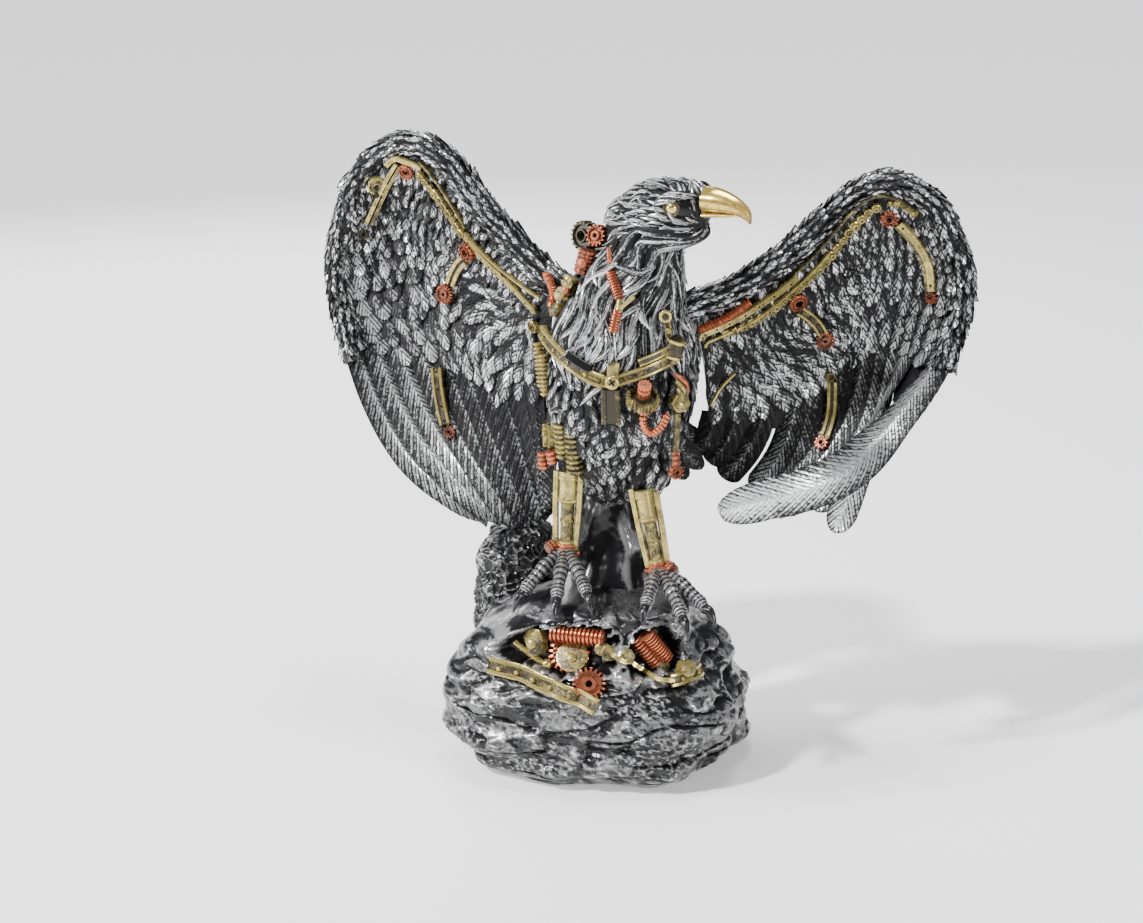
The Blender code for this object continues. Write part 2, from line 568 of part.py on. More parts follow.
def on_rock(degrees, height, out=0.0):
    """A point on the broken face of the rock, or standing out from it."""
    angle = math.radians(180.0 - degrees)
    outward = Vector((math.sin(angle), math.cos(angle), 0.0))
    return rock_point(angle, height) + outward * (out - broken_in(degrees, height))


def rock():
    sides, levels = 72, 30
    rings = [[on_rock(360.0 * k / sides - 180.0, row / levels) for k in range(sides)]
             for row in range(levels + 1)]
    crown = [point.lerp(Vector((0.0, -0.018, ROCK_HEIGHT)), 0.5) for point in rings[-1]]
    rings.append([Vector((p.x, p.y, ROCK_HEIGHT + 0.001)) for p in crown])
    parts = [loft("rock", rings)]
    post = [(-0.052, 0.012, 0.40), (-0.054, 0.014, 0.75), (-0.053, 0.014, 1.02), (-0.050, 0.016, 1.24)]
    spire = [(0.002, 0.004, 0.90), (-0.002, 0.006, 1.15), (-0.006, 0.008, 1.35), (-0.006, 0.010, 1.62)]
    for name, column, width, shares in (("rock_post", post, POST_DIAMETER, (1.08, 1.0, 0.92, 0.77)),
                                        ("rock_spire", spire, SPIRE_DIAMETER, (1.4, 1.06, 0.88, 0.7))):
        path = [Vector((x, y, share * ROCK_HEIGHT)) for x, y, share in column]
        parts.append(tube(name, path, [width / 2.0 * share for share in shares], sides=12, steps=8))
    return parts


def rock_clockwork():
    """Racks, gears and riveted strips in the broken front of the rock."""
    radius = RACK_DIAMETER / 2.0
    parts = []
    for ends in (((-15, 0.87), (0, 0.88), (15, 0.86)), ((31, 0.92), (38, 0.83), (46, 0.73))):
        path = [on_rock(degrees, height, 0.0024) for degrees, height in ends]
        parts.append(tube("rack", path, [radius, radius], steps=4))
    for degrees, height, size, teeth in ((0, 0.78, FAN_GEAR_DIAMETER, 14),
                                         (10, 0.64, HALF_GEAR_DIAMETER, 12),
                                         (-18, 0.80, ROCK_NUT_DIAMETER, 6),
                                         (18, 0.79, ROCK_NUT_DIAMETER, 6),
                                         (52, 0.72, ROCK_NUT_DIAMETER, 6)):
        out = Vector((math.sin(math.radians(degrees)), -math.cos(math.radians(degrees)), 0.2))
        parts.append(gear("rock_gear", on_rock(degrees, height, 0.0012), out, size / 2.0,
                          ROCK_GEAR_THICKNESS, teeth))
    for band in (((-30, 0.67), (-8, 0.62), (13, 0.54)), ((19, 0.83), (37, 0.67), (60, 0.64))):
        path = [on_rock(degrees, height, 0.0014) for degrees, height in band]
        outs = [Vector((math.sin(math.radians(degrees)), -math.cos(math.radians(degrees)), 0.2))
                for degrees, height in band]
        parts.append(strip("rock_strip", path, outs, ROCK_STRIP_WIDTH, ROCK_STRIP_THICKNESS))
    return parts


def cast(name, parts, collection, cutters):
    """Join every shape into one closed casting, thin its facets and cut its underside flat."""
    shape = bmesh.new()
    for part in parts:
        shape.from_mesh(part.data)
        mesh = part.data
        bpy.data.objects.remove(part)
        bpy.data.meshes.remove(mesh)
    mesh = bpy.data.meshes.new(name)
    shape.to_mesh(mesh)
    shape.free()
    casting = bpy.data.objects.new(name, mesh)
    collection.objects.link(casting)
    remesh = casting.modifiers.new("merge", "REMESH")
    remesh.mode = "VOXEL"
    remesh.voxel_size = GRAIN
    graph = bpy.context.evaluated_depsgraph_get()
    merged = casting.evaluated_get(graph).data
    merged.calc_loop_triangles()
    thin = casting.modifiers.new("facets", "DECIMATE")
    thin.ratio = FACETS / len(merged.loop_triangles)
    ground = bmesh.new()
    bmesh.ops.create_cube(ground, size=1.0)
    size = Matrix.Diagonal((2.0 * WING_SPAN, 2.0 * WING_SPAN, ROCK_HEIGHT, 1.0))
    place = Matrix.Translation((0.0, 0.0, -ROCK_HEIGHT / 2.0))
    bmesh.ops.transform(ground, matrix=place @ size, verts=ground.verts)
    cutter = mesh_object("ground_cutter", ground)
    cutter.hide_render = True
    cutter.display_type = "WIRE"
    cutters.objects.link(cutter)
    level_cut = casting.modifiers.new("flat_underside", "BOOLEAN")
    level_cut.object = cutter
    level_cut.solver = "EXACT"
    return casting


def resin():
    """Antique silver paint over dark resin."""
    material = bpy.data.materials.new("antique_silver_resin")
    material.use_nodes = True
    shader = material.node_tree.nodes["Principled BSDF"]
    shader.inputs["Base Color"].default_value = (0.20, 0.20, 0.205, 1.0)
    shader.inputs["Metallic"].default_value = 0.6
    shader.inputs["Roughness"].default_value = 0.42
    return material


def main():
    for item in list(bpy.data.objects):
        bpy.data.objects.remove(item)
    collection = bpy.data.collections.new("steampunk_eagle_figurine")
    cutters = bpy.data.collections.new("cutters")
    for group in (collection, cutters):
        bpy.context.scene.collection.children.link(group)
    parts = wing("left_wing", LEFT_CAGE, 1.0, LEFT_COVERTS, LEFT_FLIGHT, LEFT_RIM)
    parts += wing("right_wing", RIGHT_CAGE, -1.0, RIGHT_COVERTS, RIGHT_FLIGHT, RIGHT_RIM)
    parts += left_wing_trim() + right_wing_trim()
    parts += body() + head() + tail() + legs() + harness() + neck_gears()
    parts += rock() + rock_clockwork()
    figurine = cast("eagle_figurine", parts, collection, cutters)
    figurine.data.materials.append(resin())


main()
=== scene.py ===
# Dresses the steampunk eagle figurine: painted feathers, rock and clockwork over its solid.
# Shapes are worked out in millimetres and turned into metres as each mesh is made.
import bpy, math
import numpy as np
from mathutils import Vector, Matrix, noise
from mathutils.bvhtree import BVHTree


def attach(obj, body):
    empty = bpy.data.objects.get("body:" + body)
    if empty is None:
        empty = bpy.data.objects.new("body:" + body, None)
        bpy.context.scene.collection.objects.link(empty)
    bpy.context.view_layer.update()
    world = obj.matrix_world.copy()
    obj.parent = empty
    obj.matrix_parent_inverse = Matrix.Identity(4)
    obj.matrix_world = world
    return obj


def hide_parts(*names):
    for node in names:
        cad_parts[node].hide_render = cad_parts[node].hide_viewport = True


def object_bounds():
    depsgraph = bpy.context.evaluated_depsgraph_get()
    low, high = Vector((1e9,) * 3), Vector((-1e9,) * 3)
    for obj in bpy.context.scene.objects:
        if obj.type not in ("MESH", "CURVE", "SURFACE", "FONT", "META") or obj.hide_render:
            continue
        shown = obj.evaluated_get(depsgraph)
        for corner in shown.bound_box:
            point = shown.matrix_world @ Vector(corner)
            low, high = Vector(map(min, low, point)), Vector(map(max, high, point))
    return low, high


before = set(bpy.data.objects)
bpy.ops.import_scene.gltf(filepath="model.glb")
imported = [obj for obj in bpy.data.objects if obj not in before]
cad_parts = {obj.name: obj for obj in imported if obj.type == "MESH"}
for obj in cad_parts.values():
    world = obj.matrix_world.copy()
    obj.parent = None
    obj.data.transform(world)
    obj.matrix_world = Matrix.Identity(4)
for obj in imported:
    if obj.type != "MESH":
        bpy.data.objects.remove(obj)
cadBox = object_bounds()
mm = 0.001
rng = np.random.default_rng(11)
faceting = "eagle_figurine"

# the figurine's own sizes, as in the solid
figure = {"rockHeight": 81.0, "rockWidth": 132.0, "rockDepth": 118.0, "shoulder": 30.0,
          "span": 305.0, "drawnSpan": 311.5, "openingDepth": 8.0}
stretch = (figure["span"] - 2 * figure["shoulder"]) / (figure["drawnSpan"] - 2 * figure["shoulder"])


def pose(points):
    # pose points are measured from between the soles of the feet
    points = np.array(points, float)
    x = points[..., 0]
    reach = np.maximum(np.abs(x) - figure["shoulder"], 0.0)
    points[..., 0] = np.sign(x) * (np.abs(x) - reach + reach * stretch)
    points[..., 2] += figure["rockHeight"]
    return points


def unit(vectors):
    vectors = np.asarray(vectors, float)
    return vectors / np.maximum(np.linalg.norm(vectors, axis=-1, keepdims=True), 1e-9)


def curveThrough(points, shares):
    # a smooth curve through evenly spaced values, points or rows of points, read at many shares
    points = np.asarray(points, float)
    flat = points.reshape(len(points), -1)
    shares = np.asarray(shares, float)
    spot = np.clip(shares.ravel(), 0, 1) * (len(flat) - 1)
    first = np.minimum(spot.astype(int), len(flat) - 2)
    f = (spot - first)[:, None]
    padded = np.concatenate([2 * flat[:1] - flat[1:2], flat, 2 * flat[-1:] - flat[-2:-1]])
    p0, p1, p2, p3 = (padded[first + k] for k in range(4))
    bend = f * (2 * p0 - 5 * p1 + 4 * p2 - p3 + f * (3 * (p1 - p2) + p3 - p0))
    out = p1 + 0.5 * f * (p2 - p0 + bend)
    return out.reshape(shares.shape + points.shape[1:])


class Skin:
    # a curved surface that feathers and trim are laid on
    def __init__(self, grid, turn):
        self.point = grid
        across = np.gradient(grid, axis=0)
        down = np.gradient(grid, axis=1)
        self.across = unit(across)
        self.normal = unit(np.cross(across, down)) * turn

    def read(self, field, u, v):
        u, v = np.broadcast_arrays(np.asarray(u, float), np.asarray(v, float))
        x = np.clip(u, 0, 1) * (field.shape[0] - 1)
        y = np.clip(v, 0, 1) * (field.shape[1] - 1)
        i = np.minimum(x.astype(int), field.shape[0] - 2)
        j = np.minimum(y.astype(int), field.shape[1] - 2)
        a, b = (x - i)[..., None], (y - j)[..., None]
        low = field[i, j] * (1 - a) + field[i + 1, j] * a
        high = field[i, j + 1] * (1 - a) + field[i + 1, j + 1] * a
        return low * (1 - b) + high * b

    def at(self, u, v, lift=0.0):
        return self.read(self.point, u, v) + self.normalAt(u, v) * np.asarray(lift, float)[..., None]

    def normalAt(self, u, v):
        return unit(self.read(self.normal, u, v))

    def acrossAt(self, u, v):
        return unit(self.read(self.across, u, v))


# meshes

def gridQuads(rows, cols, wrap=False):
    # quads of a grid whose points run row by row; wrap joins the last column to the first
    i = np.arange(rows - 1)[:, None]
    j = np.arange(cols if wrap else cols - 1)[None, :]
    k = (j + 1) % cols
    return np.stack([i * cols + j, i * cols + k, (i + 1) * cols + k, (i + 1) * cols + j],
                    -1).reshape(-1, 4)


def feathers(path, across, normal, half, height, tone, barb, thickness):
    # many feathers at once: path, across, normal [n, rows, 3], half [n, rows], the rest [n, rows, cols],
    # each closed underneath by a keel along its middle; cols is odd
    count, rows, cols = height.shape
    s = np.linspace(-1, 1, cols)
    top = (path[:, :, None] + across[:, :, None] * (half[..., None] * s)[..., None]
           + normal[:, :, None] * height[..., None])
    middle = cols // 2
    keel = top[:, :, middle] - normal * thickness
    points = np.concatenate([top.reshape(count, -1, 3), keel], 1).reshape(-1, 3)
    left = np.arange(rows) * cols
    right = left + cols - 1
    below = np.arange(rows) + rows * cols
    sides = [np.stack([right[1:], right[:-1], below[:-1], below[1:]], -1),
             np.stack([left[:-1], left[1:], below[1:], below[:-1]], -1)]
    ends = []
    for edge, low in ((np.arange(cols), below[0]), (np.arange(right[-1], left[-1] - 1, -1), below[-1])):
        ends.append(np.stack([edge[2::2], edge[1::2], edge[:-2:2], np.full(middle, low)], -1))
    quads = np.concatenate([gridQuads(rows, cols)] + sides + ends)
    every = quads[None] + (np.arange(count) * (rows * cols + rows))[:, None, None]
    # the keel underneath takes 0.7 of the middle's tone: painted shade under the feather
    tones = np.concatenate([tone.reshape(count, -1), tone[:, :, middle] * 0.7], 1).reshape(-1)
    barbs = np.concatenate([barb.reshape(count, -1), barb[:, :, middle]], 1).reshape(-1)
    return points, every.reshape(-1, 4), tones, barbs


def tubeChunk(path, radius, sides=10, tone=0.7, capped=True):
    # a tube along a path of points with one radius for each point
    path = np.asarray(path, float)
    count = len(path)
    radius = np.broadcast_to(np.asarray(radius, float), (count,))
    ahead = unit(np.gradient(path, axis=0))
    side = np.cross(ahead[0], [0, 0, 1.0])
    if np.linalg.norm(side) < 0.2:
        side = np.cross(ahead[0], [0, 1.0, 0])
    frames = []
    for step in ahead:
        side = unit(side - step * np.dot(side, step))
        frames.append(side)
    side = np.array(frames)
    up = np.cross(side, ahead)
    angle = np.arange(sides) / sides * math.tau
    points = (path[:, None] + (side[:, None] * np.cos(angle)[None, :, None]
              + up[:, None] * np.sin(angle)[None, :, None]) * radius[:, None, None])
    points = points.reshape(-1, 3)
    quads = gridQuads(count, sides, wrap=True)
    if capped:
        ends = np.array([path[0], path[-1]])
        first, last = len(points), len(points) + 1
        points = np.concatenate([points, ends])
        k = np.arange(sides)
        n = (k + 1) % sides
        start = np.stack([np.full(sides, first), n, k, k], -1)
        close = np.stack([np.full(sides, last), k + (count - 1) * sides, n + (count - 1) * sides,
                          n + (count - 1) * sides], -1)
        quads = np.concatenate([quads, start, close])
    return points, quads, np.full(len(points), float(tone))


def basis(axis):
    axis = unit(axis)
    helper = [0, 0, 1.0] if abs(axis[2]) < 0.9 else [1.0, 0, 0]
    right = unit(np.cross(helper, axis))
    return right, np.cross(axis, right), axis


def turned(centre, axis, profile, sides=32, teeth=0, bite=0.2, tone=0.7, twist=0.0):
    # a closed profile of (radius, height) spun round an axis; outer points can carry teeth
    right, up, axis = basis(axis)
    profile = np.array(profile, float)
    if teeth:
        sides = teeth * 6
    angle = np.arange(sides) / sides * math.tau
    outer = profile[:, 0] > 0.86 * profile[:, 0].max()
    cut = np.ones((len(profile), sides))
    if teeth:
        gap = np.isin(np.arange(sides) % 6, (3, 4, 5))
        cut[np.ix_(outer, gap)] = 1.0 - bite
    radius = profile[:, 0][:, None] * cut
    spin = angle + twist
    points = (np.asarray(centre, float) + right * (radius * np.cos(spin))[..., None]
              + up * (radius * np.sin(spin))[..., None] + axis * profile[:, 1][:, None, None])
    points = points.reshape(-1, 3)
    loop = np.concatenate([np.arange(len(profile)), [0]])
    i, j = loop[:-1], loop[1:]
    k = np.arange(sides)
    n = (k + 1) % sides
    quads = np.stack([i[:, None] * sides + k, j[:, None] * sides + k, j[:, None] * sides + n,
                      i[:, None] * sides + n], -1).reshape(-1, 4)
    depth = np.repeat(np.where(outer, 1.0, 0.75), sides) * tone
    return points, quads, depth


def gearChunk(centre, axis, radius, thick, teeth=12, bite=0.22, hole=0.25, tone=0.75, twist=0.0):
    # a toothed wheel with a rim, a sunk web, a raised hub and an axle hole
    t = thick / 2
    profile = [(radius, -t), (radius, t * 0.8), (radius * 0.93, t), (radius * 0.76, t),
               (radius * 0.68, t * 0.45), (radius * 0.48, t * 0.45), (radius * 0.42, t * 1.15),
               (radius * hole * 1.15, t * 1.15), (radius * hole, t * 0.9), (radius * hole, -t)]
    return turned(centre, axis, profile[::-1], teeth=teeth, bite=bite, tone=tone, twist=twist)


def discChunk(centre, axis, radius, thick, sides=18, dome=0.3, tone=0.75):
    # a rivet, screw or boss with a slightly domed face
    t = thick / 2
    profile = [(0.02, -t), (radius, -t), (radius, t * (1 - dome)), (radius * 0.85, t * 0.9),
               (radius * 0.4, t), (0.02, t * 1.04)]
    return turned(centre, axis, profile, sides=sides, tone=tone)


def drumChunk(start, end, radius, ribs, rib=0.18, teeth=0, tone=0.75, sides=24):
    # a ribbed or toothed cylinder between two points: racks, springs of discs, gear stacks
    start, end = np.asarray(start, float), np.asarray(end, float)
    length = np.linalg.norm(end - start)
    profile = [(0.02, 0.0)]
    for k in range(ribs):
        low, step = k * length / ribs, length / ribs
        profile += [(radius * (1 - rib), low), (radius, low + 0.18 * step),
                    (radius, low + 0.58 * step), (radius * (1 - rib), low + 0.76 * step)]
    profile += [(radius * (1 - rib), length), (0.02, length)]
    return turned(start, end - start, profile, sides=sides, teeth=teeth, bite=0.16, tone=tone)


def barChunk(path, normal, width, thick, bevel=0.25, tone=0.75, sink=0.0):
    # a flat strip along a path, with bevelled edges and an optional sunk middle
    path, normal = np.asarray(path, float), unit(normal)
    ahead = unit(np.gradient(path, axis=0))
    side = unit(np.cross(ahead, normal))
    normal = np.cross(side, ahead)
    w = np.broadcast_to(np.asarray(width, float) / 2, (len(path),))
    t = thick / 2
    section = [(-1, -t), (-1, t - bevel), (-0.86, t), (-0.55, t), (-0.42, t - sink),
               (0.42, t - sink), (0.55, t), (0.86, t), (1, t - bevel), (1, -t)]
    points = np.stack([path + side * (w * a)[:, None] + normal * b for a, b in section], 1)
    rows, cols = points.shape[:2]
    points = points.reshape(-1, 3)
    quads = gridQuads(rows, cols, wrap=True)
    ends = np.array([[0, 1, 8, 9], [1, 2, 7, 8], [2, 3, 6, 7], [3, 4, 5, 6]])
    far = ends[:, ::-1] + (rows - 1) * cols
    tones = np.tile([0.5, 0.9, 1, 1, 0.55 if sink else 0.9, 0.55 if sink else 0.9, 1, 1, 0.9, 0.5],
                    rows) * tone
    return points, np.concatenate([quads, ends, far]), tones


def makePiece(name, chunks, finish, smooth=35.0):
    # join the chunks into one mesh, with its tone as an attribute for the paint
    points = np.concatenate([chunk[0] for chunk in chunks])
    offsets = np.cumsum([0] + [len(chunk[0]) for chunk in chunks[:-1]])
    quads = np.concatenate([chunk[1] + offset for chunk, offset in zip(chunks, offsets)])
    tones = np.concatenate([chunk[2] for chunk in chunks])
    triangles = quads[:, 2] == quads[:, 3]
    sizes = np.where(triangles, 3, 4)
    starts = np.concatenate([[0], np.cumsum(sizes)[:-1]])
    corners = quads[np.arange(4)[None, :] < sizes[:, None]]
    mesh = bpy.data.meshes.new(name)
    mesh.vertices.add(len(points))
    mesh.vertices.foreach_set("co", (points * mm).astype(np.float32).ravel())
    mesh.loops.add(len(corners))
    mesh.loops.foreach_set("vertex_index", corners.astype(np.int32))
    mesh.polygons.add(len(quads))
    mesh.polygons.foreach_set("loop_start", starts.astype(np.int32))
    mesh.update(calc_edges=True)
    barbs = np.concatenate([chunk[3] if len(chunk) > 3 else np.zeros(len(chunk[0])) for chunk in chunks])
    for label, values in (("tone", tones), ("barb", barbs)):
        mesh.attributes.new(label, "FLOAT", "POINT").data.foreach_set("value", values.astype(np.float32))
    mesh.shade_smooth()
    mesh.set_sharp_from_angle(angle=math.radians(smooth))
    piece = bpy.data.objects.new(name, mesh)
    bpy.context.scene.collection.objects.link(piece)
    mesh.materials.append(paints[finish])
    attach(piece, "root")
    print(name, len(quads) * 2 - int(triangles.sum()), "triangles")
    return piece


# shader maths

class Wire:
    # one output of a shader node, with arithmetic
    def __init__(self, tree, socket):
        self.tree, self.socket = tree, socket

    def math(self, operation, *others):
        node = self.tree.nodes.new("ShaderNodeMath")
        node.operation = operation
        for place, value in zip(node.inputs, (self,) + others):
            if isinstance(value, Wire):
                self.tree.links.new(value.socket, place)
            else:
                place.default_value = value
        return Wire(self.tree, node.outputs[0])

    def __add__(self, other):
        return self.math("ADD", other)

    __radd__ = __add__

    def __mul__(self, other):
        return self.math("MULTIPLY", other)

    __rmul__ = __mul__

    def __sub__(self, other):
        return self.math("SUBTRACT", other)

    def __rsub__(self, other):
        return (self * -1.0).math("ADD", other)


class Paint:
    # a material under construction
    def __init__(self, name, **fixed):
        self.material = bpy.data.materials.new(name)
        self.material.use_nodes = True
        self.tree = self.material.node_tree
        self.shader = self.tree.nodes["Principled BSDF"]
        for socket, value in fixed.items():
            self.shader.inputs[socket.replace("_", " ")].default_value = value
        self.place = self.node("ShaderNodeTexCoord", out="Object")

    def node(self, kind, settings=None, inputs=None, out=0):
        node = self.tree.nodes.new(kind)
        for key, value in (settings or {}).items():
            setattr(node, key, value)
        for key, value in (inputs or {}).items():
            if isinstance(value, Wire):
                self.tree.links.new(value.socket, node.inputs[key])
            else:
                node.inputs[key].default_value = value
        return Wire(self.tree, node.outputs[out])

    def noise(self, scale, detail=3.0, rough=0.55):
        return self.node("ShaderNodeTexNoise", None, {"Vector": self.place, "Scale": scale,
                         "Detail": detail, "Roughness": rough}, "Fac")

    def attribute(self, name):
        return self.node("ShaderNodeAttribute", {"attribute_name": name}, None, "Fac")

    def mix(self, share, dark, light):
        return self.node("ShaderNodeMix", {"data_type": "RGBA"}, {0: share, 6: dark, 7: light}, 2)

    def step(self, value, low, high):
        return self.node("ShaderNodeMapRange", {"interpolation_type": "SMOOTHSTEP"},
                         {"Value": value, "From Min": low, "From Max": high}, 0)

    def bump(self, height, distance, strength=1.0):
        return self.node("ShaderNodeBump", None, {"Height": height, "Distance": distance,
                         "Strength": strength}, 0)

    def feed(self, **wires):
        for socket, wire in wires.items():
            self.tree.links.new(wire.socket, self.shader.inputs[socket.replace("_", " ")])
        return self.material


def silverPaint(name, dark, light, low, high, grain=800.0, speckle=0.9, bumpDepth=0.00032, rough=(0.42, 0.24),
                hair=0.8, patchy=0.45, coat=0.0):
    # silver dry-brushed over black: the tone says how much of the brush reached the spot, and it also carries
    # painted shade in hollows and under overlapping feathers and painted highlight on crests; the grooves
    # between the barbs of a feather stay black, as black paint and as painted shade in the grooves
    paint = Paint(name, IOR=1.3, Coat_Weight=coat, Coat_Roughness=0.12)
    blotch = paint.noise(120.0)
    fine = paint.noise(grain, 4.0, 0.65)
    wander = paint.noise(400.0)
    wave = (paint.attribute("barb") * math.tau + wander * 5.0).math("SINE")
    groove = paint.step(wave, 0.2, 0.9) * hair
    brushed = paint.step(paint.attribute("tone") + (blotch - 0.5) * patchy + (fine - 0.5) * speckle - groove,
                         low, high)
    colour = paint.mix(brushed, (*dark, 1), (*light, 1))
    return paint.feed(Base_Color=colour, Metallic=brushed * 0.85,
                      Roughness=brushed * (rough[1] - rough[0]) + rough[0],
                      Normal=paint.bump(fine * 0.4 - groove * 2.0, bumpDepth, 0.8))


def metalPaint(name, dark, light, low, high, rough, grain=1300.0):
    # brass or copper paint with black left in the hollows
    paint = Paint(name, IOR=1.45)
    blotch = paint.noise(260.0)
    fine = paint.noise(grain, 3.0)
    worn = paint.step(paint.attribute("tone") + (blotch - 0.5) * 0.8 + (fine - 0.5) * 0.8, low, high)
    colour = paint.mix(worn, (*dark, 1), (*light, 1))
    return paint.feed(Base_Color=colour, Metallic=worn * 0.9,
                      Roughness=worn * (rough[1] - rough[0]) + rough[0],
                      Normal=paint.bump(fine, 0.00006, 0.5))


coal = (0.006, 0.006, 0.007)
paints = {
    "feather": silverPaint("featherSilver", coal, (0.68, 0.69, 0.70), 0.42, 1.32, speckle=1.3,
                           hair=0.55, patchy=0.7),
    "flight": silverPaint("flightSilver", coal, (0.66, 0.67, 0.68), 0.40, 1.12, speckle=1.2, hair=0.4),
    # a darker copy of the feather silver: painted shade for the wing backs and the tail
    "darkFeather": silverPaint("darkFeatherSilver", coal, (0.34, 0.34, 0.35), 0.4, 1.2, speckle=1.4),
    "hackle": silverPaint("hackleSilver", coal, (0.70, 0.71, 0.72), 0.38, 0.98, speckle=1.1, hair=0.4),
    "claw": silverPaint("clawBlack", coal, (0.16, 0.16, 0.17), 0.4, 1.4, rough=(0.24, 0.2), hair=0.0,
                        coat=0.5),
    "gloss": silverPaint("glossBlack", coal, (0.03, 0.03, 0.03), 0.0, 2.0, rough=(0.15, 0.15), hair=0.0),
    "eye": metalPaint("eyeGold", (0.035, 0.028, 0.010), (0.66, 0.54, 0.22), 0.1, 0.8, (0.3, 0.16)),
    "foot": silverPaint("footSilver", coal, (0.42, 0.42, 0.43), 0.5, 1.2, rough=(0.26, 0.2), hair=0.0,
                        coat=0.5),
    "rock": silverPaint("rockSilver", coal, (0.56, 0.56, 0.57), 0.3, 1.2, grain=900.0, speckle=0.9,
                        bumpDepth=0.00014, rough=(0.3, 0.2), hair=0.0, patchy=0.2, coat=0.3),
    "brass": metalPaint("brassPaint", (0.020, 0.016, 0.005), (0.60, 0.48, 0.16), 0.40, 1.0, (0.42, 0.22)),
    "copper": metalPaint("copperPaint", (0.030, 0.006, 0.003), (0.60, 0.18, 0.085), 0.36, 1.0, (0.42, 0.24)),
    "beak": metalPaint("beakGold", (0.10, 0.06, 0.012), (0.80, 0.57, 0.15), 0.2, 0.75, (0.36, 0.2)),
}
print("paints ready")

# laying feathers on a skin

def smoothstep(value, low, high):
    x = np.clip((value - low) / (high - low), 0, 1)
    return x * x * (3 - 2 * x)


def featherShape(t, s, look):
    # half-width share along a feather and its raised relief across it
    tip = np.clip((t - 1 + look["tip"]) / look["tip"], 0, 1)
    width = np.sqrt(np.maximum(1 - tip ** look.get("point", 2.0), 0.0025))
    width = width * (look["root"] + (1 - look["root"]) * np.minimum(look.get("swell", 3.0) * t, 1))
    relief = look["camber"] * (1 - s ** 2) + look["shaft"] * np.exp(-(s / 0.13) ** 2)
    return width, relief


def layOn(skin, roots, tips, half, look, lift, sway=None, facing=None, fade=None):
    # feathers whose shafts run from roots to tips, both spots (u, v) of the skin
    rows, cols = look["grid"]
    # rows of points crowd towards the tip, where the outline turns
    t = 1 - (1 - np.linspace(0, 1, rows)) ** look.get("crowd", 1.35)
    s = np.linspace(-1, 1, cols)
    spots = roots[:, None] + (tips - roots)[:, None] * t[None, :, None]
    if sway is not None:
        spots[..., 0] += sway[:, None] * np.sin(math.pi * t)
    centre = skin.at(spots[..., 0], spots[..., 1])
    normal = skin.normalAt(spots[..., 0], spots[..., 1])
    if facing is not None:
        normal = unit(normal + (np.array([0, -1.0, 0]) - normal) * (facing[:, None] * t)[..., None])
    return strands(centre, normal, half, look, lift(spots, t), t, s, fade)


def strands(centre, normal, half, look, lift, t, s, fade=None):
    # the feather meshes over their shafts' points
    ahead = unit(np.gradient(centre, axis=1))
    across = unit(np.cross(ahead, normal))
    normal = np.cross(across, ahead)
    width, relief = featherShape(t, s, look)
    count = len(centre)
    length = np.linalg.norm(np.diff(centre, axis=1), axis=-1).sum(1)
    along = length[:, None, None] * t[None, :, None]
    spread = half[:, None] * width[None]
    swept = along - look["slant"] * spread[..., None] * np.abs(s)
    barb = swept / look["barb"]
    if look.get("hair"):
        barb = look["hair"] * s * np.ones((count, len(t), 1)) + rng.random((count, 1, 1)) * 9
    height = lift[..., None] + relief * np.minimum(1.0, 4 * (1.02 - t))[None, :, None]
    if look.get("notch"):
        saw = (swept / look["notchStep"] + rng.random((count, 1, 1))) % 1.0
        groove = np.exp(-((saw - 0.5) / 0.13) ** 2) * smoothstep(np.abs(s), 0.06, 0.25)
        height = height - look["notch"] * groove
    else:
        groove = 0.0
    tilt = look.get("lean", 0.0) + look.get("ruffle", 0.0) * rng.standard_normal((count, 1, 1))
    height = height + tilt * s
    own = np.clip(1 + look["varied"] * rng.standard_normal((count, 1, 1)), 0.6, 1.6)
    # dark at the root and along the edges, bright at the tip: partly the dry brush, partly painted shade
    # where each feather lies under the row above and its neighbours; the notches take painted shade too
    tipward = t[None, :, None] ** look.get("toneBend", 1.0)
    tone = look["toneRoot"] + (look["toneTip"] - look["toneRoot"]) * tipward
    tone = tone * own * (1 - look["edgeDark"] * np.abs(s) ** 2.4) - 0.45 * groove
    tone = tone + 0.12 * np.exp(-(s / 0.12) ** 2)  # the shaft catches the brush
    if fade is not None:
        tone = tone * fade[:, None, None]
    return feathers(centre, across, normal, spread, height, tone, barb, look["thick"])


def evenAlong(skin, line, pitch, start=0.0, end=1.0, shift=0.0, wider=0.0):
    # shares u at even steps of length along the line v = line(u), wider ones towards the tip
    u = np.linspace(start, end, 400)
    points = skin.at(u, line(u))
    steps = np.linalg.norm(np.diff(points, axis=0), axis=1) / (1 + wider * smoothstep(u[1:], 0.55, 0.95))
    length = np.concatenate([[0], np.cumsum(steps)])
    count = max(int(length[-1] / pitch), 2)
    wanted = (np.arange(count) + 0.5 + shift) / count * length[-1]
    return np.interp(wanted, length, u)


def columnLength(skin, u):
    points = skin.at(np.asarray(u)[:, None], np.linspace(0, 1, 60)[None])
    return np.linalg.norm(np.diff(points, axis=1), axis=-1).sum(1)


# wings

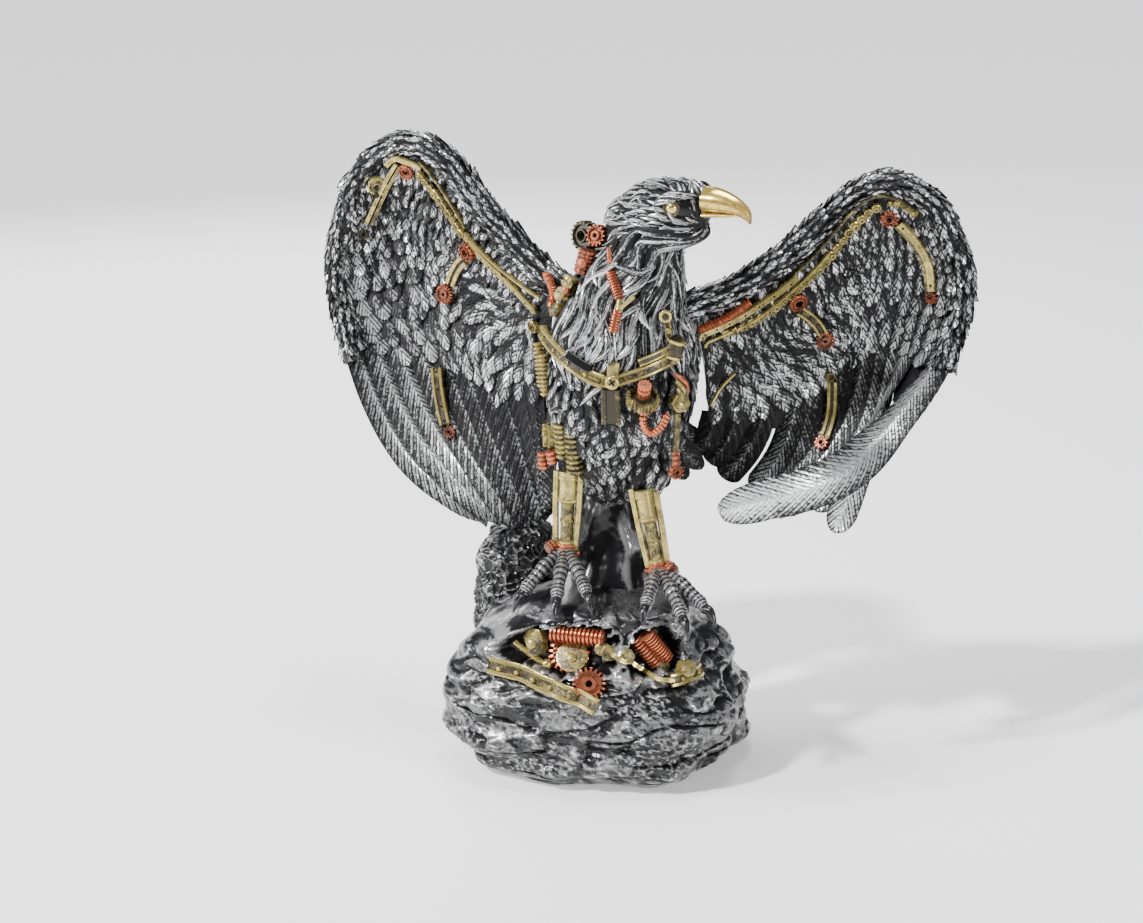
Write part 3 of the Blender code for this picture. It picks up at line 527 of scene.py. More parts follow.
wingForm = {
    "leftCage": (
        ((-28, 3, 141), (-38, 18, 117), (-40, 24, 87), (-39, 24, 57), (-36, 18, 30)),
        ((-60, 18, 162), (-66, 32, 137), (-62, 36, 104), (-51, 30, 67), (-38, 18, 22)),
        ((-88, 29, 190), (-93, 42, 154), (-85, 42, 112), (-66, 32, 67), (-42, 14, 18)),
        ((-112, 36, 197), (-118, 50, 152), (-106, 46, 107), (-82, 32, 62), (-48, 10, 17)),
        ((-131, 40, 185), (-141, 50, 137), (-126, 44, 92), (-98, 28, 52), (-56, 6, 19)),
        ((-142, 42, 167), (-153, 45, 124), (-140, 36, 78), (-112, 19, 41), (-67, -1, 21))),
    "rightCage": (
        ((31, 5, 132), (34, 18, 114), (36, 26, 96), (37, 28, 81), (37, 28, 69), (34, 27, 58)),
        ((55, 16, 142), (58, 34, 116), (60, 40, 91), (60, 38, 73), (55, 32, 58), (45, 25, 45)),
        ((79, 28, 160), (83, 45, 129), (85, 50, 100), (81, 46, 74), (76, 38, 55), (65, 30, 38)),
        ((97, 34, 178), (103, 50, 145), (106, 54, 110), (103, 48, 80), (92, 38, 56), (76, 28, 41)),
        ((111, 36, 187), (117, 51, 151), (119, 54, 113), (117, 44, 82), (111, 28, 56), (101, 15, 26)),
        ((122, 37, 187), (130, 51, 151), (130, 50, 112), (121, 30, 84), (108, 0, 63), (84, -28, 44)),
        ((132, 38, 183), (142, 50, 147), (141, 43, 112), (124, 14, 84), (106, -28, 72), (62, -55, 55)),
        ((142, 40, 174), (154, 45, 143), (153, 34, 111), (136, 6, 82), (108, -30, 60), (62, -55, 53))),
    "leftCoverts": ((0.22, 0.28, 0.30, 0.27, 0.24, 0.20), (0.39, 0.50, 0.52, 0.47, 0.40, 0.30),
                    (0.62, 0.74, 0.69, 0.62, 0.53, 0.42)),
    "rightCoverts": ((0.30, 0.26, 0.25, 0.22, 0.20, 0.20, 0.20, 0.20),
                     (0.58, 0.44, 0.42, 0.33, 0.31, 0.32, 0.33, 0.32),
                     (0.80, 0.60, 0.57, 0.47, 0.45, 0.46, 0.48, 0.46)),
    "leftFlight": ((0.05, 6, 0), (0.13, 6, 0), (0.21, 6, 0), (0.30, 7, 0), (0.39, 7, 0), (0.48, 7, 0),
                   (0.57, 7, 0), (0.66, 7, 0), (0.75, 7.5, 0), (0.84, 8, 0), (0.935, 7.5, 0)),
    "rightFlight": ((0.01, 6, 0), (0.07, 6, 0), (0.143, 6.5, 0), (0.24, 6, 0), (0.286, 7, 0),
                    (0.36, 7, 0), (0.43, 7, 0), (0.50, 7, 0.5), (0.571, 7.5, 1), (0.714, 8, 0.7),
                    (0.985, 6, 0), (0.94, 9.0, 0.3)),
    "flightFade": {"left": (0.52, 1.14),
                   "right": (0.6, 0.6, 0.65, 0.65, 0.7, 0.75, 0.85, 1.05, 1.2, 1.1, 1.1, 1.15)},
    "panelThickness": 4.4, "trimRise": -0.021,
    "trimShift": {"left": (-0.05, 0.067), "right": (-0.042, 0.10)},
    "rimEnd": {"left": (0.47, 0.03), "right": (0.46, 0.018)},
    "rimLanes": 13, "rimPitch": 3.5, "rimRadius": 4.2, "rimShares": (1.25, 1.2, 1.15, 1.1, 1.1, 1.0, 0.6),
}
flightLook = {"grid": (120, 15), "tip": 0.10, "root": 0.8, "camber": 1.1, "shaft": 0.5, "slant": 1.6,
              "barb": 2.9, "notch": 0.4, "notchStep": 5.7, "toneRoot": 0.55, "toneTip": 0.98,
              "toneBend": 1.0, "edgeDark": 0.45, "thick": 1.6, "varied": 0.10, "crowd": 1.12}
covertLook = {"grid": (9, 7), "tip": 0.42, "root": 0.8, "camber": 0.45, "shaft": 0.25, "slant": 2.5,
              "barb": 4.2, "toneRoot": 0.30, "toneTip": 1.05, "toneBend": 1.1, "thick": 0.5,
              "edgeDark": 0.85, "varied": 0.22, "ruffle": 0.3}
smallLook = dict(covertLook, grid=(8, 5), camber=0.4, shaft=0.0, barb=3.6, varied=0.32, tip=0.6, ruffle=0.7)
rimLook = dict(covertLook, grid=(8, 5), camber=0.5, shaft=0.2, barb=3.8, tip=0.65, toneTip=1.05,
               varied=0.3, ruffle=0.6)


class Wing(Skin):
    # the wing's front face, with the steps that its coverts make
    def __init__(self, side, turn):
        columns = [curveThrough(pose(column), np.linspace(0, 1, 161)) for column in wingForm[side + "Cage"]]
        super().__init__(curveThrough(np.array(columns), np.linspace(0, 1, 121)), turn)
        self.side, self.turn = side, turn
        self.edges = wingForm[side + "Coverts"]

    def edge(self, u, row):
        # the lower edge of a row; a whole number is one of the three main edges
        lines = np.array([[0.05] * len(self.edges[0])] + [list(edge) for edge in self.edges])
        lines = curveThrough(lines, np.array([(row + 1) / 3.0]))[0]
        return curveThrough(lines, u)

    def step(self, u, v):
        e0, e1, e2 = (curveThrough(np.array(edge, float), u) for edge in self.edges)
        out = np.where(v < e0, 6.2 + 0.8 * v / e0, 7.0 - 2.0 * (v - e0) / (e1 - e0))
        out = np.where(v > e1, 5.0 - 2.4 * (v - e1) / (e2 - e1), out)
        out = np.where(v > e2, 2.6 - 1.6 * smoothstep(v, e2, e2 + 0.14), out)
        return out

    def seen(self, u, v):
        # where a trim must sit to show at (u, v), because the coverts lift it towards the viewer
        share = self.step(u, v) / 7.0
        fixed, slope = wingForm["trimShift"][self.side]
        return np.maximum(u + (fixed + slope * u) * share, 0.0), v + wingForm["trimRise"] * share


def sheetBetween(front, back, tone=0.15):
    # a closed sheet between two grids of points
    rows, cols = front.shape[:2]
    points = np.concatenate([front.reshape(-1, 3), back.reshape(-1, 3)])
    one = gridQuads(rows, cols)
    layer = rows * cols
    border = np.concatenate([np.arange(cols), np.arange(1, rows) * cols + cols - 1,
                             (rows - 1) * cols + np.arange(cols - 2, -1, -1),
                             np.arange(rows - 2, 0, -1) * cols])
    ahead = np.roll(border, -1)
    rim = np.stack([ahead, border, border + layer, ahead + layer], -1)
    quads = np.concatenate([one, one[:, ::-1] + layer, rim])
    return points, quads, np.full(len(points), float(tone))


def wingPanel(wing):
    u = np.linspace(0, 1, 61)[:, None]
    v = 0.03 + np.linspace(0, 1, 41)[None] * (wing.edge(u[:, 0], 2)[:, None] + 0.06)
    u = u * (0.985 - 0.055 * smoothstep(v, 0.24, 0.4))
    front = wing.at(u, v, wing.step(u, v) - 1.6 - 3.0 * smoothstep(u, 0.94, 1.0))
    back = wing.at(u, v, -wingForm["panelThickness"] * smoothstep(v, -0.02, 0.12))
    if wing.turn > 0:
        front, back = front[::-1], back[::-1]
    # the panel keeps the sheet's dark tone: black undercoat and painted shade where it shows between the
    # coverts
    return sheetBetween(front, back)


def wingFlight(wing):
    flight = np.array(wingForm[wing.side + "Flight"], float)
    u, half, turned = flight.T
    start = wing.edge(u, 2) - 0.12
    look = dict(flightLook, lean=2.0 * wing.turn)
    roots, tips = np.stack([u, start], -1), np.stack([u, np.ones(len(u))], -1)
    spacing = np.arange(len(u))
    fade = curveThrough(wingForm["flightFade"][wing.side], np.linspace(0, 1, len(u)))

    def lift(spots, t):
        return 1.2 + 0.5 * (spacing[:, None] % 2) + 0 * t
    return layOn(wing, roots, tips, half, look, lift, facing=turned, fade=fade)


covertRows = {"left": (-0.82, -0.66, -0.50, -0.34, -0.18, -0.02, 0.14, 0.30, 0.48, 0.70, 0.98, 1.22, 1.48,
                       1.74, 2.0),
              "right": (-0.82, -0.65, -0.48, -0.31, -0.14, 0.04, 0.22, 0.40, 0.60, 0.80, 1.02, 1.28, 1.54,
                        1.78, 2.0)}


def wingCoverts(wing):
    # rows of coverts, small and fluffy near the leading edge, long and plain at the lowest row
    chunks = []
    for row in covertRows[wing.side]:
        share = (row + 1) / 3.0
        pitch = 3.7 + 2.6 * share ** 1.2
        long = 8.0 + 15.0 * share ** 1.3
        look = smallLook if row < 0.5 else covertLook

        def line(u, row=row):
            return wing.edge(u, row)
        wider = 0.9 * smoothstep(share, 0.2, 0.5) if wing.side == "left" else 0.35
        u = evenAlong(wing, line, pitch, 0.0, 1.0 - 0.045 * wider, 0.25 * rng.random(), wider)
        big = 1 + wider * smoothstep(u, 0.55, 0.95)
        u = u + rng.normal(0, 0.0035, len(u))
        v = line(u) + rng.normal(0, 0.006 if row < 0.5 else 0.01, len(u))
        down = columnLength(wing, u)
        near = 1 - smoothstep(u, 0.25, 0.5)
        leanOut = (0.075 if wing.side == "left" else 0.035) * near * (share > 0.4) * smoothstep(u, 0.0, 0.14)
        leanOut = leanOut + rng.normal(0, 0.006, len(u))
        size = long * big ** 0.4 * (1 + 0.12 * rng.standard_normal(len(u)))
        roots = np.stack([u - leanOut, v - size / down], -1)
        tips = np.stack([u + leanOut, v], -1)
        bright = 0.92 + 0.15 * near * smoothstep(share, 0.5, 0.7) * (1 - 0.6 * smoothstep(share, 0.85, 1.0))

        def lift(spots, t):
            return wing.step(spots[..., 0], spots[..., 1]) - 1.8 + 3.2 * t ** 1.5
        chunks.append(layOn(wing, roots, tips, pitch * big * 0.74 * (1 + 0.1 * rng.standard_normal(len(u))),
                            look, lift, sway=rng.normal(0, 0.004, len(u)), fade=bright))
    return chunks


def ridgeSkin(path, radius, turn, start=-0.62, end=0.62, around=49):
    # the outside of a roll that runs along a path, from its front round to its back
    path = np.asarray(path, float)
    ahead = unit(np.gradient(path, axis=0))
    side = np.array([0, -1.0, 0]) - ahead * (ahead @ np.array([0, -1.0, 0]))[:, None]
    side = unit(side)
    up = np.cross(ahead, side)
    angle = np.linspace(start, end, around) * math.tau
    grid = (path[:, None] + (side[:, None] * np.cos(angle)[None, :, None]
            + up[:, None] * np.sin(angle)[None, :, None]) * np.asarray(radius)[:, None, None])
    return Skin(grid, turn)


def rimPath(wing, count=120):
    drop, inset = wingForm["rimEnd"][wing.side]
    path = [wing.at(0.0, inset, 1.0) * [0.5, 1.0, 1.0] - [0, 0, 7.0]]
    path += [wing.at(k / 8.0, inset, 1.0) for k in range(8)]
    path += [wing.at(1 - inset, v, 1.0) for v in (0.03, drop / 2, drop)]
    shares = np.linspace(0, 1, 4 * count)
    line = curveThrough(np.array(path), shares)
    far = np.concatenate([[0], np.cumsum(np.linalg.norm(np.diff(line, axis=0), axis=1))])
    shares = np.interp(np.linspace(0, far[-1], count), far, shares)
    radius = wingForm["rimRadius"] * curveThrough(np.array(wingForm["rimShares"]), shares)
    return curveThrough(np.array(path), shares), radius + 0.4


def wingRim(wing):
    # the roll of scale-like feathers along the leading edge and down the outer side
    path, radius = rimPath(wing)
    skin = ridgeSkin(path, radius, 1.0)
    middle, seam = len(path) // 2, skin.normal.shape[1] // 2
    if skin.normal[middle, seam] @ (skin.point[middle, seam] - path[middle]) < 0:
        skin.normal = -skin.normal
    length = np.linalg.norm(np.diff(path, axis=0), axis=1).sum()
    rings, lanes = int(length / wingForm["rimPitch"]), wingForm["rimLanes"]
    k, a = np.meshgrid(np.arange(rings), np.arange(lanes))
    u = (k.ravel() + 0.5 * (a.ravel() % 2)) / rings + rng.normal(0, 0.0016, k.size)
    v = (a.ravel() + 0.5) / lanes + rng.normal(0, 0.008, k.size)
    outer = smoothstep(u, 0.62, 0.9)
    long = (8.5 + 4.5 * outer) * (1 + 0.18 * rng.standard_normal(u.size)) / length
    roots = np.stack([u - long * 0.6, v], -1)
    tips = np.stack([u + long * 0.4, v + rng.normal(0, 0.012, u.size)], -1)

    def lift(spots, t):
        return -0.7 + (2.3 + 1.5 * outer[:, None]) * t ** 1.4
    half = 2.1 * (1 + 0.35 * outer) * (1 + 0.15 * rng.standard_normal(u.size))
    scales = layOn(skin, roots, tips, half, rimLook, lift)
    # the roll under the scales is dark: black undercoat and painted shade between the scales
    return [tubeChunk(path, radius - 0.4, 16, 0.2), scales]


class Backed(Skin):
    # the wing's back face
    def __init__(self, wing):
        grid = wing.point - wing.normal * wingForm["panelThickness"]
        super().__init__(grid, -wing.turn)
        self.edge = wing.edge


def wingBack(wing):
    # plainer coverts over the back of the arm, in the darker feather silver at 0.85 of their tone: painted
    # shade
    back = Backed(wing)
    chunks = []
    for row in (-0.9, -0.7, -0.5, -0.28, -0.04, 0.22, 0.5, 0.8, 1.15, 1.55, 2.0):
        share = (row + 1) / 3.0
        pitch, long = 5.0 + 2.5 * share, 12.0 + 14.0 * share

        def line(u, row=row):
            return wing.edge(u, row)
        u = evenAlong(back, line, pitch, 0.0, 0.95, 0.5 * rng.random())
        v = line(u) + rng.normal(0, 0.008, len(u))
        size = long / columnLength(back, u)

        def lift(spots, t):
            return -0.9 + 1.9 * t + 0 * spots[..., 0]
        chunks.append(layOn(back, np.stack([u, v - size], -1), np.stack([u, v], -1),
                            np.full(len(u), pitch * 0.62), dict(covertLook, grid=(7, 5)), lift,
                            fade=np.full(len(u), 0.85)))
    return chunks


wings = {side: Wing(side, turn) for side, turn in (("left", 1.0), ("right", -1.0))}
for side, wing in wings.items():
    makePiece(side + "WingFlight", [wingPanel(wing), wingFlight(wing)], "flight")
    makePiece(side + "WingCoverts", wingCoverts(wing), "feather")
    makePiece(side + "WingRim", wingRim(wing), "feather")
    makePiece(side + "WingBack", wingBack(wing), "darkFeather")
print("wings dressed")

# body, neck and head

bodyForm = {
    "stations": ((38, 0, 6, 12, 12), (48, 1, 3, 22, 22), (62, 0, 1, 28, 29), (82, 2, 0, 33, 35),
                 (102, 3, 0, 34, 37), (118, 4, -2, 31, 35), (132, 3.5, -3, 26.5, 30),
                 (147, 8, -5, 22, 24), (162, 12, -8, 18, 19), (174, 16, -11, 17, 17)),
    "turn": -14.0,
    "skull": ((26, -17, 177), (21, 15.5, 15.5)), "forehead": ((36, -19, 181), (13, 12, 12.5)),
    "nape": ((14, -13, 172), (16, 15, 13)), "cheek": ((36, -20, 173.5), (11.5, 12.5, 9)),
    "thighs": (((-15, -8, 60), (11, 13, 15), -0.1), ((17, -10, 58), (11, 13, 15), 0.15)),
    "eye": (36, -19, 182.2), "eyeOut": 11.8, "grain": 1.5, "inset": 1.0,
}
headTurn = math.radians(bodyForm["turn"])
ahead = np.array([math.cos(headTurn), math.sin(headTurn), 0.0])
beside = np.array([ahead[1], -ahead[0], 0.0])


def ballChunk(centre, size, turn=0.0, tilt=0.0, sides=32, tone=0.6):
    # an ellipsoid, turned about Z and tilted about its own Y
    rows = sides // 2 + 1
    polar = np.linspace(0.02, math.pi - 0.02, rows)[:, None]
    around = np.arange(sides)[None] / sides * math.tau
    unitBall = np.stack([np.sin(polar) * np.cos(around), np.sin(polar) * np.sin(around),
                         np.cos(polar) * np.ones_like(around)], -1)
    matrix = np.array(Matrix.Rotation(turn, 3, "Z") @ Matrix.Rotation(tilt, 3, "Y"))
    points = (unitBall * np.array(size)) @ matrix.T + np.array(centre)
    quads = gridQuads(rows, sides, wrap=True)[:, ::-1]
    caps = []
    for row, order in ((0, 1), (rows - 1, -1)):
        loop = np.arange(sides)[::order] + row * sides
        for k in range(1, sides - 2, 2):
            caps.append([loop[0], loop[k], loop[k + 1], loop[k + 2]])
    quads = np.concatenate([quads, np.array(caps)])
    return points.reshape(-1, 3), quads, np.full(rows * sides, float(tone))


def bodyCore():
    # torso, neck, head and thighs melted into one dark form for the feathers to grow from
    stations = np.array(bodyForm["stations"], float)[::-1]
    v = np.linspace(0, 1, 61)
    z, x, y, wide, deep = curveThrough(stations, v).T
    sides = 72
    angle = np.arange(sides) / sides * math.tau
    rings = np.stack([x[:, None] + wide[:, None] * np.sin(angle), y[:, None] + deep[:, None] * np.cos(angle),
                      z[:, None] + 0 * angle], -1)
    rings = pose(rings)
    ends = [np.repeat(rings[row].mean(0)[None], sides, 0)[None] * 0.98 + rings[row][None] * 0.02
            for row in (0, -1)]
    rings = np.concatenate([ends[0], rings, ends[1]])
    quads = gridQuads(len(rings), sides, wrap=True)
    shapes = [(rings.reshape(-1, 3), quads)]
    for part in ("skull", "forehead", "nape", "cheek"):
        centre, size = bodyForm[part]
        shapes.append(ballChunk(pose(centre), size, headTurn if part != "nape" else 0.0)[:2])
    for centre, size, tilt in bodyForm["thighs"]:
        shapes.append(ballChunk(pose(centre), size, 0.0, tilt)[:2])
    mesh = bpy.data.meshes.new("coreDraft")
    points = np.concatenate([shape[0] for shape in shapes])
    offsets = np.cumsum([0] + [len(shape[0]) for shape in shapes[:-1]])
    faces = np.concatenate([shape[1] + offset for shape, offset in zip(shapes, offsets)])
    mesh.from_pydata(points.tolist(), [], faces.tolist())
    draft = bpy.data.objects.new("coreDraft", mesh)
    bpy.context.scene.collection.objects.link(draft)
    melt = draft.modifiers.new("melt", "REMESH")
    melt.mode = "VOXEL"
    melt.voxel_size = bodyForm["grain"]
    soften = draft.modifiers.new("soften", "SMOOTH")
    soften.iterations = 12
    graph = bpy.context.evaluated_depsgraph_get()
    merged = draft.evaluated_get(graph).data
    points = np.zeros(len(merged.vertices) * 3)
    merged.vertices.foreach_get("co", points)
    normals = np.zeros(len(merged.vertices) * 3)
    merged.vertices.foreach_get("normal", normals)
    faces = [list(polygon.vertices) for polygon in merged.polygons]
    bpy.data.objects.remove(draft)
    points, normals = points.reshape(-1, 3), normals.reshape(-1, 3)
    return points - normals * bodyForm["inset"], normals, faces


corePoints, coreNormals, coreFaces = bodyCore()
coreTree = BVHTree.FromPolygons(corePoints.tolist(), coreFaces)
coreQuads = np.array([face if len(face) == 4 else face + face[-1:] for face in coreFaces])
print("core", len(corePoints), "points")
beakBase = pose((46, -22, 178))
bandPoints = pose(((-34, -6, 124), (-26, -20, 118), (-12, -34, 111), (4, -38.5, 104.5), (16, -37, 107),
                   (28, -30, 112), (40, -14, 118), (44, 0, 120)))


def bandHeight(x):
    # the harness band's height across the chest
    return np.interp(x, bandPoints[:, 0], bandPoints[:, 2])


def flow(points, normals):
    # which way the feathers lie: back from the beak, down the neck, and down the body
    fromBeak = unit(points - beakBase + np.array([0, 0, 4.0]))
    down = np.tile([0.0, 0.0, -1.0], (len(points), 1))
    z = points[:, 2] - figure["rockHeight"]
    front = smoothstep(-points[:, 1], 0.0, 22.0)
    swirl = front * smoothstep(z, 104, 128) * (1 - smoothstep(z, 158, 176))
    down[:, 0] -= 0.62 * swirl * np.clip((points[:, 0] + 12) / 30.0, -0.3, 1.0)
    wave = 0.42 * np.sin(z * 0.16 + points[:, 0] * 0.11 + 1.3 * np.sin(points[:, 1] * 0.07))
    sideways = np.cross(normals, down)
    head = smoothstep(z, 152, 176)[:, None]
    way = down * (1 - head) + fromBeak * head * 1.2 + sideways * wave[:, None]
    way -= normals * (way * normals).sum(1)[:, None]
    return unit(way)


def march(starts, startNormals, length, rows):
    # shafts that follow the flow over the core
    count = len(starts)
    centre = np.zeros((count, rows, 3))
    normal = np.zeros((count, rows, 3))
    spot, up = starts.copy(), startNormals.copy()
    for row in range(rows):
        centre[:, row], normal[:, row] = spot, up
        spot = spot + flow(spot, up) * (length / (rows - 1))[:, None]
        for k in range(count):
            place, face, _, _ = coreTree.find_nearest(Vector(spot[k]))
            spot[k] = place
            up[k] = unit(up[k] * 0.5 + np.array(face) * 0.5)
    return centre, normal


def scatter(chosen, gap, seed):
    # core points of a region, no two closer than the gap
    order = np.random.default_rng(seed).permutation(np.flatnonzero(chosen))
    taken, cells = [], {}
    for k in order:
        cell = tuple((corePoints[k] // gap).astype(int))
        near = [j for dx in (-1, 0, 1) for dy in (-1, 0, 1) for dz in (-1, 0, 1)
                for j in cells.get((cell[0] + dx, cell[1] + dy, cell[2] + dz), ())]
        if all(np.sum((corePoints[j] - corePoints[k]) ** 2) > gap * gap for j in near):
            cells.setdefault(cell, []).append(k)
            taken.append(k)
    return np.array(taken)


hackleLook = {"grid": (15, 7), "tip": 0.72, "point": 1.5, "root": 0.55, "swell": 4.0, "camber": 1.4,
              "shaft": 0.2, "slant": 0.0, "barb": 1.0, "hair": 1.6, "toneRoot": 0.34, "toneTip": 0.96,
              "thick": 0.5, "edgeDark": 0.85, "varied": 0.3, "crowd": 1.0}
faceLook = dict(hackleLook, grid=(9, 5), camber=0.5, shaft=0.1, hair=1.4, tip=0.6, toneRoot=0.5,
                toneTip=1.08, edgeDark=0.7)
jawLook = dict(hackleLook, grid=(13, 5), camber=0.7, hair=1.4, toneRoot=0.6, toneTip=1.1)
tuftLook = dict(covertLook, grid=(8, 7), camber=0.5, shaft=0.15, tip=0.6, barb=3.4, ruffle=0.35)


# places that clockwork keeps clear of feathers: a spot in pose points and a radius
bareSpots = (((-9, -10, 163), 7.5), ((-2, -17, 165), 5.5), ((-7, -17, 158), 5.5), ((-9, -18, 151), 5.5),
             ((-16, -17, 141), 5), ((-19, -13, 133), 4.5), ((-22, -11, 126), 4), ((4, -27, 159), 2.2),
             ((6, -29, 152), 2.8), ((7.5, -31, 147), 2.8), ((9.5, -33, 142), 2.8), ((10, -35, 136), 2.8),
             ((9, -37, 130), 2.8), ((14, -35, 139), 2.2), ((30, -31, 134), 3.6), ((-17, -22, 74), 5.5),
             ((-17, -22, 66), 5.5), ((-10, -24, 70), 5), ((-10, -23, 62), 5), ((-26, -15, 70), 5.5),
             ((-23, -18, 62), 4.5), ((31, -19, 60), 5), ((31, -20, 70), 3.5), ((33, -20, 80), 3))


def dressCore(chosen, gap, length, half, look, seed, rise):
    picked = scatter(chosen, gap, seed)
    random = np.random.default_rng(seed + 100)
    starts, normals = corePoints[picked], coreNormals[picked]
    long = length * (1 + 0.13 * random.standard_normal(len(picked)))
    rows, cols = look["grid"]
    centre, normal = march(starts - normals * 0.4, normals, long, rows)
    middles = pose([spot for spot, _ in bareSpots])
    reach = np.array([radius for _, radius in bareSpots])
    gaps = np.linalg.norm(centre[:, ::2, None] - middles, axis=-1)
    keep = np.all(gaps > reach, axis=(1, 2))
    centre, normal, long = centre[keep], normal[keep], long[keep]
    t = np.linspace(0, 1, rows)
    s = np.linspace(-1, 1, cols)
    curl = 1.7 * random.standard_normal(len(centre))[:, None] * np.maximum(t - 0.55, 0)[None] ** 1.3
    sideways = unit(np.cross(unit(np.gradient(centre, axis=1)), normal))
    centre = centre + sideways * (curl * long[:, None] * 0.35)[..., None]
    uneven = 1 + 0.35 * random.standard_normal((len(centre), 1))
    lift = rise[0] + (rise[1] - rise[0]) * t[None] ** 1.2 * uneven
    halves = half * (1 + 0.2 * random.standard_normal(len(centre)))
    return strands(centre, normal, halves, look, lift, t, s)


def dressBody():
    z = corePoints[:, 2] - figure["rockHeight"]
    x, y = corePoints[:, 0], corePoints[:, 1]
    overBeak = np.linalg.norm(corePoints - pose((58, -26.5, 182)), axis=1) < 8.5
    # byEye keeps the face feathers off the dark socket, which is partly painted shade under the brow
    eyes = [pose(bodyForm["eye"]) + beside * side * bodyForm["eyeOut"] for side in (1, -1)]
    byEye = np.min([np.linalg.norm((corePoints - eye - ahead * 1.8) / [1.35, 1.35, 1.0], axis=1)
                    for eye in eyes], axis=0) < 4.3
    front = smoothstep(-y, -6, 14)
    mane = bandHeight(x) - figure["rockHeight"]
    low = np.where(front > 0.5, mane, 112.0)
    tufts = dressCore((z < low + 3) & (z > 41), 4.1, 7.6, 2.9, tuftLook, 5, (0.0, 1.7))
    tiers = []
    for k, (top, bottom, length) in enumerate(((low + 26, low + 8, 19.0), (low + 42, low + 24, 27.0),
                                               (np.full(len(z), 172.0), low + 40, 27.0))):
        tiers.append(dressCore((z < top) & (z > bottom) & (z < 172), 3.9, length, 2.5, hackleLook,
                               20 + k, (0.3 + 0.3 * k, 2.2)))
    face = dressCore((z > 156) & ~overBeak & ~byEye, 2.5, 8.5, 1.05, faceLook, 9, (0.0, 0.9))
    jaw = dressCore((z > 153) & (z < 174) & ((corePoints - beakBase) @ ahead < 6) & ~byEye, 3.3, 14.0, 1.1,
                    jawLook, 12, (0.2, 1.3))
    # the core is left dark: black undercoat and painted shade where it shows between the feathers
    core = (corePoints, coreQuads, np.full(len(corePoints), 0.12))
    makePiece("bodyCore", [core], "feather", 180.0)
    makePiece("bodyFeathers", [tufts], "feather")
    makePiece("neckHackles", tiers, "hackle")
    makePiece("headFeathers", [face, jaw], "hackle")


dressBody()

# head: beak, eyes and brows

beakForm = {
    "upper": ((46.5, -22.9, 184.9), (51.5, -24.5, 184.9), (57, -26.2, 184.3), (62.5, -28, 182.8),
              (66.2, -29.2, 180.1), (68.2, -29.7, 176.4)),
    "upperHigh": (6.0, 5.8, 4.9, 3.6, 2.6, 0.4), "upperWide": (7.0, 6.4, 5.2, 3.8, 2.3, 0.4),
    "lower": ((46.5, -22.9, 178.6), (51, -24.3, 178.9), (56, -26, 179.2), (63, -28, 179.7)),
    "lowerHigh": (1.6, 1.5, 1.2, 0.5), "lowerWide": (5.6, 4.9, 3.7, 2.0),
}


def beakChunk(path, high, wide, flatSide, rows=34, sides=28):
    # a tapering horn, pointed above and flat where the two halves of the beak meet
    t = np.linspace(0, 1, rows)
    centre = curveThrough(pose(path), t)
    high, wide = curveThrough(np.array(high), t), curveThrough(np.array(wide), t)
    along = unit(np.gradient(centre, axis=0))
    up = unit(np.cross(np.tile(beside, (rows, 1)), along))
    up *= np.sign(up[:, 2:])
    angle = np.arange(sides) / sides * math.tau
    cosine, sine = np.cos(angle), np.sin(angle)
    rise = np.where(sine * flatSide > 0, sine, sine * 0.92)
    narrow = np.where(sine * flatSide > 0, 1 - 0.25 * np.abs(sine) ** 2, 1.0)
    points = (centre[:, None] + beside * (wide[:, None] * cosine * narrow)[..., None]
              + up[:, None] * (high[:, None] * rise)[..., None])
    ends = np.stack([centre[0], centre[-1]])
    quads = gridQuads(rows, sides, wrap=True)
    k = np.arange(sides)
    n = (k + 1) % sides
    last = rows * sides
    caps = np.concatenate([np.stack([np.full(sides, last), n, k, k], -1),
                           np.stack([np.full(sides, last + 1), k + (rows - 1) * sides,
                                     n + (rows - 1) * sides, n + (rows - 1) * sides], -1)])
    quads = np.concatenate([quads, caps])
    points = np.concatenate([points.reshape(-1, 3), ends])
    centreOfAll = points.mean(0)
    corner = points[quads[0]]
    if np.cross(corner[1] - corner[0], corner[2] - corner[0]) @ (corner[0] - centre[0]) < 0:
        quads = quads[:, ::-1]
        quads[quads[:, 0] == quads[:, 1]] = quads[quads[:, 0] == quads[:, 1]][:, [1, 2, 3, 3]]
    # lighter on top and darker underneath: painted light and shade
    tone = 0.55 + 0.4 * np.clip((points - centreOfAll)[:, 2] / 8.0, -1, 1)
    return points, quads, np.clip(tone, 0.2, 1.0)


eyeForm = {"ball": (3.1, 3.1, 3.1), "ring": 3.5, "ringThick": 0.62, "socket": (7.0, 3.2, 4.6), "strands": 6,
           # the brow's arch: forward of the eye, out from it and above it
           "arch": ((-9.5, -1.6, 2.0), (-4, 0.2, 4.2), (3, 0.0, 4.6), (9.5, -6.0, 3.0))}
browLook = dict(hackleLook, grid=(16, 5), camber=0.9, thick=1.6, tip=0.5, toneRoot=0.7, hair=1.2)


